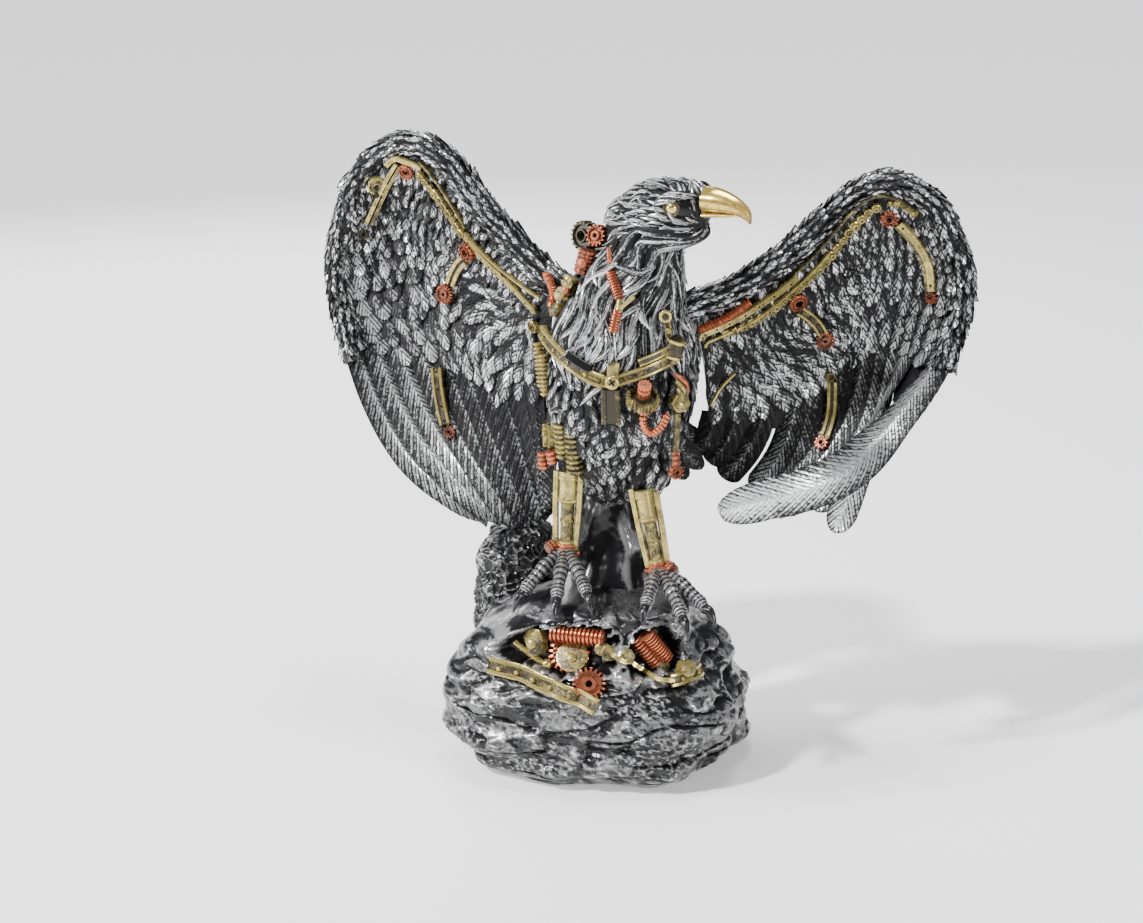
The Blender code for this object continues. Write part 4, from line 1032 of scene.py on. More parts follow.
def dressHead():
    makePiece("beak", [beakChunk(beakForm["upper"], beakForm["upperHigh"], beakForm["upperWide"], 1),
                       beakChunk(beakForm["lower"], beakForm["lowerHigh"], beakForm["lowerWide"], -1)],
              "beak", 50.0)
    eyes, sockets, brows = [], [], []
    for side in (1.0, -1.0):
        eye = pose(bodyForm["eye"]) + beside * side * bodyForm["eyeOut"]
        out = beside * side
        eyes.append(ballChunk(eye + out * 0.5, eyeForm["ball"], headTurn, tone=0.9))
        ring = [eye + out * 1.5 + (ahead * math.cos(a) + np.array([0, 0, math.sin(a)])) * eyeForm["ring"]
                for a in np.linspace(0, math.tau, 33)]
        eyes.append(tubeChunk(ring, eyeForm["ringThick"], 8, 0.0, capped=False))
        # a dark gloss ball behind each eye: black round the eye and painted shade under the brow
        sockets.append(ballChunk(eye + ahead * 2.0 - out * 1.5 + np.array([0, 0, 0.2]),
                                 eyeForm["socket"], headTurn, 0.15, 36, 0.2))
        arch = [eye + ahead * step + out * reach + np.array([0, 0, rise])
                for step, reach, rise in eyeForm["arch"]]
        rows, cols = browLook["grid"]
        t, s = np.linspace(0, 1, rows), np.linspace(-1, 1, cols)
        for k in range(eyeForm["strands"]):
            shaft = curveThrough(np.array(arch), 0.98 - 0.09 * k - (0.55 + 0.03 * k) * t)
            shaft = shaft + out * (0.5 + 0.2 * k) + np.array([0, 0, 1.6 - 0.75 * k])
            facing = np.tile(unit(out + np.array([0, 0, 0.55 - 0.1 * k])), (rows, 1))
            brows.append(strands(shaft[None], facing[None], np.array([1.5]), browLook,
                                 np.array([0.9 * t]), t, s))
    makePiece("eyes", eyes, "eye", 60.0)
    makePiece("eyeSockets", sockets, "gloss", 60.0)
    makePiece("brows", brows, "hackle", 60.0)


dressHead()
print("head dressed")

# rock

rockForm = {
    "shares": (0.76, 0.94, 1.0, 1.0, 0.98, 0.92, 0.84, 0.74, 0.62, 0.44),
    "lean": (0.0, 0.0, 0.0, 0.0, 0.0, -0.01, -0.02, -0.02, 0.02, 0.08),
    "breaks": ((-3.0, 0.80, 27.0, 0.13), (40.0, 0.80, 15.0, 0.14)),
    "cracked": ((38, 0.24, 20, 0.12), (-46, 0.20, 20, 0.10), (-20, 0.14, 20, 0.05), (120, 0.3, 30, 0.12),
                (-130, 0.35, 30, 0.15)),
    "pitted": ((30, 0.53, 13, 0.08), (165, 0.5, 30, 0.15)),
    "post": ((-50, 12, 0.40), (-52, 14, 0.75), (-51, 14, 1.02), (-48, 16, 1.24)),
    "postRadii": (21, 19, 18, 15),
    "spire": ((2, 4, 0.90), (-2, 6, 1.15), (-6, 8, 1.35), (-6, 10, 1.62)),
    "spireRadii": (24, 18, 15, 12),
    "sides": 360, "levels": 128,
}


def pointNoise(points, scale):
    flat = np.reshape(points, (-1, 3)) * scale
    return np.reshape([noise.noise(Vector(point)) for point in flat], np.shape(points)[:-1])


def rockPoint(degrees, height):
    # the rock's side at a height share from 0 to 1, degrees counted from the front towards +X
    angle = np.radians(180.0 - degrees)
    share = curveThrough(np.array(rockForm["shares"]), height)
    lean = curveThrough(np.array(rockForm["lean"]), height)
    front = np.maximum(-np.cos(angle), 0.0) ** 2
    squared = (np.abs(np.sin(angle)) ** 3 + np.abs(np.cos(angle)) ** 3) ** (-1 / 3)
    share = share + front * 0.30 * np.maximum(height - 0.35, 0.0)
    wide, deep = figure["rockWidth"], figure["rockDepth"]
    x = np.sin(angle) * squared * share * wide / 2 - 6 + lean * wide
    y = np.cos(angle) * squared * share * deep / 2 - 6 - lean * 0.6 * deep
    spot = np.stack([x, y, height * figure["rockHeight"]], -1)
    rough = pointNoise(spot, 0.038) * 5.5 + pointNoise(spot, 0.095) * 2.2
    layers = np.sin(height * 26.0 + 3.0 * pointNoise(spot, 0.020)) * 2.6 * np.maximum(1 - 1.4 * height, 0)
    outward = np.stack([np.sin(angle), np.cos(angle), 0 * angle], -1)
    return spot + outward * (rough + layers)[..., None], outward


def brokenIn(degrees, height):
    # share of the depth of the two broken places, and how near a spot is to their torn edges
    deep, edge = np.zeros_like(degrees), np.zeros_like(degrees)
    ragged = np.stack([degrees * 0.11, height * 7.0, 0 * degrees], -1)
    torn = 0.55 * pointNoise(ragged, 1.0) + 0.34 * pointNoise(ragged, 2.7)
    for middle, share, halfTurn, halfHeight in rockForm["breaks"]:
        x, y = np.abs(degrees - middle) / halfTurn, np.abs(height - share) / halfHeight
        away = (x ** 2.6 + y ** 2.6) ** (1 / 1.3) + torn
        deep = np.maximum(deep, np.clip(3.4 * (1 - away), 0, 1))
        edge = np.maximum(edge, np.exp(-((away - 1.10) / 0.14) ** 2))
    return deep, edge


def patch(degrees, height, spots):
    # how much a spot lies in any of some soft-edged patches
    cover = np.zeros_like(degrees)
    for middle, share, halfTurn, halfHeight in spots:
        away = ((degrees - middle) / halfTurn) ** 2 + ((height - share) / halfHeight) ** 2
        cover = np.maximum(cover, 1 - smoothstep(away, 0.6, 1.1))
    return cover


def crackNet(points, scale, width=0.10):
    # raised lines between cells, 1 on a line and 0 inside a cell
    out = []
    for point in np.reshape(points, (-1, 3)) * scale:
        distances, _ = noise.voronoi(Vector(point))
        out.append(distances[1] - distances[0])
    return np.reshape(np.exp(-(np.array(out) / width) ** 2), np.shape(points)[:-1])


def onRock(degrees, height, out=0.0):
    degrees, height = np.asarray(degrees, float), np.asarray(height, float)
    point, outward = rockPoint(degrees, height)
    deep, _ = brokenIn(degrees, height)
    return point + outward * (out - deep * figure["openingDepth"])[..., None]


def rockSurface():
    sides, levels = rockForm["sides"], rockForm["levels"]
    degrees = (np.arange(sides) / sides * 360.0 - 180.0)[None] + np.zeros((levels, 1))
    height = np.linspace(0, 1, levels)[:, None] + 0 * degrees
    point, outward = rockPoint(degrees, height)
    deep, edge = brokenIn(degrees, height)
    stretched = point * [1.0, 1.0, 2.6]
    drape = smoothstep(height, 0.62, 0.8)
    folds = pointNoise(stretched, 0.06) + 0.5 * pointNoise(stretched, 0.14)
    ledge = np.abs(pointNoise(stretched + 31.0, 0.045))
    terrace = (1 - np.minimum(ledge * 7.0, 1.0)) ** 2
    grit = pointNoise(point, 0.45) * 0.26 + pointNoise(point, 1.1) * 0.10
    cracked = patch(degrees, height, rockForm["cracked"])
    pitted = patch(degrees, height, rockForm["pitted"])
    net = np.zeros_like(height)
    busy = (cracked + pitted) > 0.02
    net[busy] = crackNet(point[busy], 0.30)
    jag = 0.5 + 0.5 * np.sin(degrees * 0.9 + 5 * pointNoise(point, 0.12))
    creases = 1 - np.abs(folds) * 2.2
    sharp = np.clip(1 - np.abs(folds) * 9.0, 0, 1) ** 2
    lift = (folds * 1.8 - terrace * 1.6 + 0.7 * creases) * (1 - 0.6 * drape) + grit * (1 - 0.9 * drape)
    lift = lift + cracked * (net * 0.8 - 0.5) + pitted * (net * 0.7 - 0.4)
    lift = lift + edge * (1.3 + 1.6 * jag) - deep * figure["openingDepth"]
    flat = smoothstep(height, 0.0, 0.03)
    points = point + outward * (lift * (0.25 + 0.75 * flat))[..., None]
    # tone: grit, cracks and pits are the rock's own pattern; the broken openings and sunk terraces take
    # painted shade on top of the black undercoat, and the torn lips, the crease crests and the drape's fold
    # crests take painted highlight
    tone = 0.44 + 0.3 * folds - 0.6 * terrace + 0.9 * grit + 0.6 * sharp - 0.08 * drape
    tone = tone * (1 - 0.7 * cracked) + 0.7 * cracked * (0.15 + 0.85 * net)
    tone = tone * (1 - pitted) + pitted * (0.25 + 0.8 * net)
    tone = tone + 1.1 * edge * (0.4 + 0.6 * jag) - 0.75 * deep + 0.5 * drape * np.maximum(folds, 0)
    summit = np.array([0, -18.0, figure["rockHeight"]])
    crown = np.array([points[-1] * (1 - k) + summit * k for k in (0.2, 0.4, 0.6, 0.8, 0.97)])
    crown[..., 2] = np.maximum(crown[..., 2], figure["rockHeight"] - 0.3) + 0.8
    rings = np.concatenate([points, crown])
    tones = np.concatenate([tone, np.full((len(crown), sides), 0.45)])
    base = rings[0].copy()
    inner = [base * [0.5, 0.5, 1.0], base * [0.02, 0.02, 1.0]]
    rings = np.concatenate([np.array(inner)[::-1], rings])
    tones = np.concatenate([np.zeros((2, sides)), tones])
    rings[:, :, 2] = np.maximum(rings[:, :, 2], 0.0)
    quads = gridQuads(len(rings), sides, wrap=True)[:, ::-1]
    return rings.reshape(-1, 3), quads, np.clip(tones, 0, 1.2).ravel()


def rockColumn(name, radii, cracked):
    # a standing lump of rock: the cracked post below one wing, or the smooth spire behind the legs
    path = np.array(rockForm[name], float) * [1, 1, figure["rockHeight"]]
    rows, sides = 110, 150
    t = np.linspace(0, 1, rows)
    centre = curveThrough(path, t)
    radius = curveThrough(np.array(rockForm[radii], float), t)
    radius = radius * np.sqrt(np.maximum(1 - np.clip((t - 0.93) / 0.07, 0, 1) ** 2, 0.0004))
    angle = np.arange(sides) / sides * math.tau
    ring = np.stack([np.cos(angle), np.sin(angle), 0 * angle], -1)
    points = centre[:, None] + ring[None] * radius[:, None, None]
    if cracked:
        net = crackNet(points, 0.24, 0.13)
        lumps = pointNoise(points, 0.10)
        lift, tone = net * 1.4 + lumps * 2.6 - 1.2, 0.10 + 0.9 * net * (0.6 + 0.5 * lumps)
    else:
        folds = pointNoise(points * [1.6, 1.6, 0.5], 0.09)
        lift = folds * 3.0 + pointNoise(points, 0.3) * 0.3
        # bright streaks along the fold crests: painted highlight for the spire's gloss
        tone = 0.2 + 2.2 * np.maximum(folds, 0) ** 1.2
    points = points + ring[None] * lift[..., None] * (radius[:, None, None] > 2)
    quads = gridQuads(rows, sides, wrap=True)
    ends = np.array([[k, k + 1, sides - 2 - k, sides - 1 - k] for k in range(sides // 2 - 1)])
    quads = np.concatenate([quads, ends[:, ::-1], ends + (rows - 1) * sides])
    return points.reshape(-1, 3), quads, tone.ravel()


rock = makePiece("rock", [rockSurface()], "rock", 50.0)
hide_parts(faceting)
makePiece("rockColumns", [rockColumn("post", "postRadii", True), rockColumn("spire", "spireRadii", False)],
          "rock", 60.0)
print("rock dressed")

# clockwork on the wings

def wingLine(wing, spots, lift, count=14):
    # points and facing directions over a list of (u, v) spots, above the coverts
    line = curveThrough(np.array(spots, float), np.linspace(0, 1, count))
    u, v = wing.seen(line[:, 0], line[:, 1])
    return wing.at(u, v, wing.step(u, v) + lift), wing.normalAt(u, v)


def wingBar(wing, spots, width, lift=1.2, shift=0.0, thick=2.2, sink=0.0, tone=0.8):
    path, normal = wingLine(wing, spots, lift)
    side = unit(np.cross(unit(np.gradient(path, axis=0)), normal))
    return barChunk(path + side * shift, normal, width, thick, 0.35, tone, sink)


def wingHoles(wing, spots, count, lift, radius=0.55, shift=0.0):
    # small round holes along a strip, drawn as black discs: painted shade for their depth
    path, normal = wingLine(wing, spots, lift, 60)
    side = unit(np.cross(unit(np.gradient(path, axis=0)), normal))
    path = path + side * shift
    picks = np.linspace(4, 55, count).astype(int)
    return [discChunk(path[k], normal[k], radius, 0.3, 10, 0.1, 0.3) for k in picks]


def wingGear(wing, spot, radius, lift=1.4, teeth=14, thick=2.4, hole=0.3, bite=0.25, **more):
    spot = wing.seen(*spot)
    point, normal = wing.at(*spot, wing.step(*spot) + lift), wing.normalAt(*spot)
    return gearChunk(point, normal, radius, thick, teeth, bite, hole, **more)


def chain(wing, spots, pitch, radius, lift=1.2):
    # hexagonal links with raised bosses, each turned a little
    path, normal = wingLine(wing, spots, lift, 200)
    far = np.concatenate([[0], np.cumsum(np.linalg.norm(np.diff(path, axis=0), axis=1))])
    chunks = []
    for k, at in enumerate(np.arange(pitch / 2, far[-1], pitch)):
        spot = np.array([np.interp(at, far, path[:, axis]) for axis in range(3)])
        facing = normal[np.searchsorted(far, at)]
        size = radius * (0.85 + 0.3 * rng.random())
        height = 1.8 + 0.8 * rng.random()
        t = height / 2
        profile = [(0.05, -t), (size, -t), (size, t * 0.7), (size * 0.8, t), (size * 0.55, t * 0.8),
                   (size * 0.5, t * 1.4), (size * 0.22, t * 1.5), (size * 0.2, t * 0.6), (0.05, t * 0.6)]
        chunks.append(turned(spot, facing, profile, sides=6 if k % 3 else 12, tone=0.85, twist=0.3 * k))
    return chunks


def leftWingTrim(wing):
    strut = ((0.60, 0.09), (0.68, 0.14), (0.745, 0.205))
    low = ((0.615, 0.63), (0.66, 0.69), (0.695, 0.745))
    strip = ((0.30, 0.185), (0.22, 0.195), (0.13, 0.185), (0.0, 0.19))
    bars = ((0.315, 0.305), (0.36, 0.365), (0.415, 0.435))
    holes = wingHoles(wing, strip, 9, 2.5, 0.5, 0.6)
    holes += wingHoles(wing, low, 4, 4.9, 0.5)
    holes += wingHoles(wing, bars, 3, 1.6, 0.6)
    # the big hole under the wheel, a black disc: painted shade
    point = wing.at(0.715, 0.115, wing.step(0.715, 0.115) + 3.0)
    holes.append(discChunk(point, wing.normalAt(0.715, 0.115), 1.3, 0.4, 16, 0.1, 0.3))
    brass = [wingBar(wing, strut, 1.9, 1.6, 1.1), wingBar(wing, strut, 1.7, 1.3, -1.3, tone=0.6),
             wingBar(wing, ((0.675, 0.075), (0.62, 0.07), (0.57, 0.08), (0.49, 0.09)), 2.6, 1.2),
             wingBar(wing, ((0.50, 0.07), (0.40, 0.11), (0.30, 0.15)), 1.0, 1.2, 0.0, tone=0.6),
             wingBar(wing, strip, 1.7, 1.4, 0.9), wingBar(wing, strip, 1.4, 1.9, -1.4),
             wingBar(wing, ((0.30, 0.17), (0.2, 0.16), (0.10, 0.13), (0.03, 0.10)), 1.2, 1.6),
             wingBar(wing, bars, 1.9, 1.3, 1.7), wingBar(wing, bars, 1.9, 1.3, -1.7),
             wingBar(wing, bars, 1.4, 0.4, 0.0, tone=0.3),
             wingBar(wing, low, 5.2, 3.4, 0.0, 3.4, 0.7),
             wingGear(wing, (0.715, 0.115), 4.9, 1.2, 10, 2.8, 0.3, 0.06),
             wingGear(wing, (0.765, 0.225), 2.6, 1.4, 8, tone=0.3),
             wingGear(wing, (0.03, 0.28), 3.2, 1.0, 6, bite=0.1)]
    brass += chain(wing, ((0.50, 0.105), (0.43, 0.14), (0.37, 0.165), (0.31, 0.19)), 3.6, 2.3, 2.4)
    copper = [wingGear(wing, (0.56, 0.11), 3.9, 1.6, 18, 2.2, 0.35, 0.14),
              wingGear(wing, (0.29, 0.242), 4.7, 1.8, 14, 4.2, 0.45, 0.22),
              wingGear(wing, (0.45, 0.465), 4.7, 1.6, 18, 3.2, 0.16, 0.3),
              wingGear(wing, (0.697, 0.765), 2.9, 3.4, 10, 2.6, 0.3, 0.3)]
    tubePath = curveThrough(pose(((-33, 1, 142), (-29.5, -4, 139.5), (-27.4, -7, 134.5), (-28.5, -6.5, 129))),
                            np.linspace(0, 1, 60))
    copper.append(tubeChunk(tubePath, 1.9 + 0.25 * np.sin(np.arange(60) * 1.9), 14, 0.8))
    return brass, copper, holes


def rightWingTrim(wing):
    strut = ((0.66, 0.12), (0.73, 0.165), (0.78, 0.22), (0.80, 0.29))
    bar = ((0.25, 0.195), (0.28, 0.265), (0.302, 0.335))
    strip = ((0.0, 0.175), (0.08, 0.13), (0.17, 0.095), (0.26, 0.085))
    low = ((0.345, 0.52), (0.368, 0.63), (0.388, 0.74))
    brass = [wingBar(wing, strut, 3.6, 1.4, 0.0, 3.0), wingBar(wing, strut, 1.2, 1.4, 2.6, 2.0, tone=0.6),
             wingBar(wing, bar, 4.9, 1.4, 0.0, 2.4, 0.7),
             wingBar(wing, strip, 3.6, 1.7, 0.0, 2.2),
             wingBar(wing, ((0.0, 0.23), (0.1, 0.165), (0.2, 0.125), (0.34, 0.09)), 1.4, 1.6),
             wingBar(wing, ((0.24, 0.075), (0.40, 0.05), (0.50, 0.045), (0.66, 0.05), (0.80, 0.06)), 1.0, 1.2,
                     tone=0.5),
             wingBar(wing, low, 1.5, 3.0, 1.5), wingBar(wing, low, 1.5, 3.0, -1.5),
             wingBar(wing, low, 1.6, 2.2, 0.0, tone=0.35),
             wingGear(wing, (0.335, 0.50), 2.2, 2.4, 6, bite=0.1)]
    for k in range(5):
        spot = (0.356 + 0.008 * k, 0.56 + 0.035 * k)
        start = wing.at(*spot, wing.step(*spot) + 1.2)
        away = wing.acrossAt(*spot) * (2.2 + 1.4 * (k % 2))
        brass.append(tubeChunk([start, start + away], 0.35, 8, 0.6))
    brass += chain(wing, ((0.57, 0.075), (0.45, 0.085), (0.32, 0.11), (0.17, 0.145), (0.07, 0.185)), 4.3, 2.5)
    brass += chain(wing, ((0.80, 0.075), (0.70, 0.065), (0.60, 0.07)), 3.0, 1.5)
    rod = curveThrough(np.array([wing.at(0.0, 0.61, 6.0), wing.at(0.015, 0.5, 8.5), wing.at(0.035, 0.42, 9.0),
                                 wing.at(0.06, 0.36, 9.0)]), np.linspace(0, 1, 30))
    brass.append(tubeChunk(rod, 0.8, 10, 0.8))
    copper = [wingGear(wing, (0.605, 0.11), 4.3, 1.6, 10, 2.8, 0.3, 0.3),
              wingGear(wing, (0.80, 0.31), 2.7, 1.6, 10, 2.4, 0.3, 0.3),
              wingGear(wing, (0.25, 0.165), 4.5, 1.8, 20, 2.4, 0.5, 0.12),
              wingGear(wing, (0.305, 0.355), 4.4, 1.6, 16, 3.0, 0.18, 0.3),
              wingGear(wing, (0.39, 0.76), 3.2, 3.2, 10, 2.6, 0.3, 0.28)]
    pipe = [wing.at(0.0, 0.105, 7.5), wing.at(0.07, 0.07, 9.0), wing.at(0.135, 0.045, 8.0)]
    pipe = curveThrough(np.array(pipe), np.linspace(0, 1, 110))
    copper.append(tubeChunk(pipe, 2.1 + 0.35 * np.sin(np.arange(110) * 0.95), 16, 0.8))
    holes = wingHoles(wing, strip, 8, 2.9, 0.5) + wingHoles(wing, bar, 4, 2.2, 0.55)
    holes += wingHoles(wing, strut, 2, 3.0, 0.6) + wingHoles(wing, low, 5, 1.5, 0.45)
    return brass, copper, holes


for side, trim in (("left", leftWingTrim), ("right", rightWingTrim)):
    brass, copper, holes = trim(wings[side])
    makePiece(side + "WingBrass", brass, "brass", 40.0)
    makePiece(side + "WingCopper", copper, "copper", 40.0)
    makePiece(side + "WingHoles", holes, "gloss", 40.0)

# harness and the clockwork round the neck

harnessForm = {"width": 6.0, "thick": 3.0, "front": (0.15, -1.0, 0.15)}


def bandNormals(path):
    middle = pose((5, 0, 110))
    away = path - middle
    away[:, 2] = 6.0
    return unit(away)


def harness():
    front = unit(harnessForm["front"])
    path = curveThrough(bandPoints, np.linspace(0, 1, 70))
    normal = bandNormals(path)
    path = path + normal * 1.4
    left, right = path[7:31], path[29:52]
    upper = path[42:55] + np.array([0, 0, 5.0]) + normal[42:55] * 0.5
    brass = [barChunk(left, normal[7:31], harnessForm["width"], harnessForm["thick"], 0.5, 0.85, 0.6),
             barChunk(right, normal[29:52], harnessForm["width"] * 0.86, harnessForm["thick"], 0.5, 0.9, 0.6),
             barChunk(upper, normal[42:55], 3.4, 2.4, 0.4, 0.8, 0.4)]
    for k in (10, 15, 20, 25):
        brass.append(discChunk(path[k] + normal[k] * 1.7, normal[k], 0.8, 0.8, 10, 0.4, 0.95))
    screw = pose((9, -41.5, 105))
    brass.append(discChunk(screw, front, 3.1, 5.0, 28, 0.3, 0.95))
    brass.append(barChunk([pose((9, -40.6, 104)), pose((9, -40.2, 113.5))], front, 5.4, 2.6, 0.4, 0.7))
    brass.append(discChunk(pose((33, -27.5, 113)), (0.6, -1, 0.1), 1.9, 2.6, 18, 0.4, 0.9))
    plate = np.linspace(pose((7.5, -38.6, 101)), pose((7.5, -37.6, 85)), 8)
    brass.append(barChunk(plate, front, 8.5, 3.0, 0.5, 0.42, 0.5))
    dark = [barChunk(curveThrough(bandPoints, np.linspace(0.30, 0.40, 8)) + [-2.0, -2.0, 4.9],
                     front, 3.6, 3.4, 0.3, 0.5)]
    # a dark cross for the screw's slots and dark discs for the holes along the band: painted shade for their
    # depth
    for turn in (0.6, 0.6 + math.pi / 2):
        arm = np.array([math.cos(turn), 0.1, math.sin(turn)]) * 1.7
        face = screw + front * 2.5
        dark.append(barChunk([face - arm, face + arm], front, 0.7, 0.9, 0.1, 0.2))
    for k in (33, 37, 41, 45):
        dark.append(discChunk(path[k] + normal[k] * 1.6, normal[k], 0.5, 0.3, 10, 0.1, 0.2))
    dome = pose((33.5, -27, 118.5))
    brass.append(ballChunk(dome, (4.2, 4.0, 6.4), 0.4, 0.3, 32, 0.42))
    for height in (-3.4, 3.4):
        brass.append(discChunk(dome + np.array([height * 0.3, 0, height]), (0.3, 0, 1.0), 4.3, 1.3, 24,
                               0.3, 0.85))
    tilt = unit((0.25, -0.55, 1.0))
    crown = pose((21.5, -36.5, 97))
    brass.append(gearChunk(crown, tilt, 7.4, 4.4, 22, 0.16, 0.3, 0.6))
    copper = [drumChunk(crown + tilt * 0.5, crown + tilt * 9.5, 3.1, 3, 0.1, 10, 0.85)]
    loop = pose(((22, -36, 93), (22.5, -39, 86), (26, -39.5, 82.5), (30, -37.5, 85), (32, -34, 90)))
    loop = curveThrough(loop, np.linspace(0, 1, 90))
    copper.append(tubeChunk(loop, 1.7 + 0.25 * np.sin(np.arange(90) * 1.05), 16, 0.85))
    brass.append(discChunk(pose((35.5, -24, 93)), (0.7, -1, 0.1), 4.4, 6.0, 6, 0.3, 0.8))
    brass.append(discChunk(pose((36, -27, 93)), (0.7, -1, 0.1), 2.0, 6.0, 16, 0.3, 0.9))
    for k in range(3):
        high, low = pose((34 + k, -28 - k, 107 - 3 * k)), pose((39 - 2 * k, -24 - k, 99 - 3 * k))
        bend = [high, (high + low) / 2 + np.array([2.5, -3.0, 1.0]), low]
        hose = curveThrough(np.array(bend), np.linspace(0, 1, 20))
        (copper if k == 0 else brass).append(tubeChunk(hose, 1.1, 10, 0.7))
    eye = pose((30.5, -32.5, 134))
    ring = [eye + (np.array([1.0, 0.2, 0]) * math.cos(a) + np.array([0, 0, 1.0]) * math.sin(a)) * 2.1
            for a in np.linspace(0, math.tau, 28)]
    brass.append(tubeChunk(ring, 0.85, 12, 0.9, capped=False))
    brass.append(discChunk(eye, (0.1, -1, 0.1), 1.5, 1.6, 16, 0.2, 0.25))
    brass.append(barChunk([eye + [0.5, 0.9, -2.4], eye + [1.4, 1.4, -9.0]], (0.2, -1, 0.1), 3.4, 2.4,
                          0.4, 0.6, 0.5))
    brass.append(discChunk(eye + [1.3, 0.2, -6.5], (0.2, -1, 0.1), 1.2, 2.0, 14, 0.3, 0.9))
    return brass, copper, dark


def proud(spot, out=2.6):
    # a pose spot pushed straight out of the body
    spot = pose(spot)
    away = (spot - pose((6, -4, 0))) * [1, 1, 0]
    return spot + unit(away) * out


def neckClockwork():
    aim = unit((-0.5, -1.0, 0.15))
    brass = [gearChunk(proud((-9.5, -9, 163)), aim, 6.8, 5.0, 18, 0.16, 0.3, 0.45),
             drumChunk(proud((-14, -13, 145)), proud((-17.5, -15, 134)), 4.2, 4, 0.2, 0, 0.75),
             discChunk(proud((-17, -15, 137), 4), (-0.4, -1, 0.3), 3.4, 6.0, 6, 0.3, 0.85),
             discChunk(proud((-20, -12, 129), 4), (-0.6, -1, 0.3), 3.6, 6.0, 6, 0.3, 0.7),
             discChunk(proud((-13.5, -16, 142.5), 4), (-0.3, -1, 0.3), 2.4, 4.0, 14, 0.3, 0.95)]
    copper = [gearChunk(proud((-2.5, -15.5, 165)), unit((-0.3, -1, 0.25)), 5.0, 5.0, 14, 0.3, 0.2, 0.85),
              drumChunk(proud((-6.5, -16.5, 158.5)), proud((-9.0, -17, 148)), 4.1, 6, 0.16, 12, 0.7),
              discChunk(proud((-6.5, -18, 153), 5), (-0.3, -1, 0.1), 2.4, 3.0, 14, 0.4, 0.9),
              discChunk(proud((-13.5, -17, 140), 5), (-0.3, -1, 0.1), 1.8, 3.0, 12, 0.4, 0.9)]
    spots = ((3.5, -25, 162), (4.5, -26.5, 155.5), (5, -28, 151.5), (10, -33, 141), (10, -35.5, 136.5),
             (8.5, -38, 127))
    spots = [proud(spot, 1.8) for spot in spots]
    copper.append(tubeChunk(np.linspace(spots[0], spots[1], 12), 1.15, 10, 0.75))
    copper.append(drumChunk(spots[2], spots[3], 2.3, 10, 0.26, 0, 0.85))
    copper.append(drumChunk(spots[4], spots[5], 2.4, 8, 0.26, 0, 0.85))
    brass.append(tubeChunk(np.linspace(spots[3], spots[4], 6), 1.3, 10, 0.7))
    brass.append(tubeChunk(np.linspace(proud((17.0, -35.5, 143), 1.0), spots[4], 10), 1.0, 10, 0.8))
    return brass, copper


harnessBrass, harnessCopper, harnessDark = harness()
neckBrass, neckCopper = neckClockwork()
makePiece("harnessBrass", harnessBrass, "brass", 40.0)
makePiece("harnessCopper", harnessCopper, "copper", 40.0)
makePiece("harnessDark", harnessDark, "gloss", 40.0)
makePiece("neckBrass", neckBrass, "brass", 40.0)
makePiece("neckCopper", neckCopper, "copper", 40.0)

# legs, feet and tail

legForm = {"tube": 4.3, "cuff": 5.0, "toe": 3.5,
           "left": ((-17, -18, 57), (-18, -20, 20)), "right": ((18.5, -22, 52), (26.5, -25, 16)),
           "leftToes": ((-35, -45, -1), (-13, -58, 1), (3, -55, 4), (-20, 8, 2)),
           "rightToes": ((28, -60, 3), (49, -62, -1), (58, -48, 1), (28, 4, 2))}


def clockLeg(side, outward):
    top, bottom = pose(legForm[side][0]), pose(legForm[side][1])
    axis = unit(bottom - top)
    length = np.linalg.norm(bottom - top)
    r = legForm["tube"]
    profile = [(0.1, 1.0), (r * 1.04, 1.0), (r * 1.04, 3.0), (r * 1.1, 3.2), (r * 1.1, 4.4), (r * 0.97, 4.8),
               (r * 0.97, length * 0.36), (r * 1.08, length * 0.37), (r * 1.08, length * 0.40),
               (r * 0.82, length * 0.42), (r * 0.70, length * 0.44), (r * 0.70, length * 0.62),
               (r * 0.78, length * 0.63), (r * 0.78, length * 0.66), (r * 0.70, length * 0.67),
               (r * 0.66, length * 0.88), (r * 0.95, length * 0.90), (r * 0.95, length * 0.95),
               (r * 0.7, length * 0.97), (r * 0.7, length), (0.1, length)]
    brass = [turned(top, axis, profile, sides=32, tone=0.8)]
    for sign in (-1.0, 1.0):
        offset = np.array([sign * r * 1.22, -0.4, 0.0])
        rod = [top + offset * 1.1 + axis * 1.0, (top + bottom) / 2 + offset * 1.05, bottom + offset * 0.88]
        rod = curveThrough(np.array(rod), np.linspace(0, 1, 24))
        brass.append(barChunk(rod, (0.1 * sign, -1, 0.1), 2.3, 2.3, 0.5, 0.85))
        brass.append(tubeChunk(rod + [sign * -1.3, -0.8, 0], 0.5, 8, 0.5))
    cuff = [drumChunk(bottom - axis * 2.8, bottom + axis * 2.6, legForm["cuff"], 3, 0.12, 0, 0.85, 8)]
    cuff.append(drumChunk(bottom + [outward * r * 1.2, -1.5, 1.5], bottom + [outward * r * 1.75, -4.5, 0.5],
                          3.0, 2, 0.2, 9, 0.7))
    cuff.append(tubeChunk([bottom - [r * 1.5, 0, 2.2], bottom + [r * 1.5, 0, -2.2]], 1.2, 12, 0.7))
    return brass, cuff


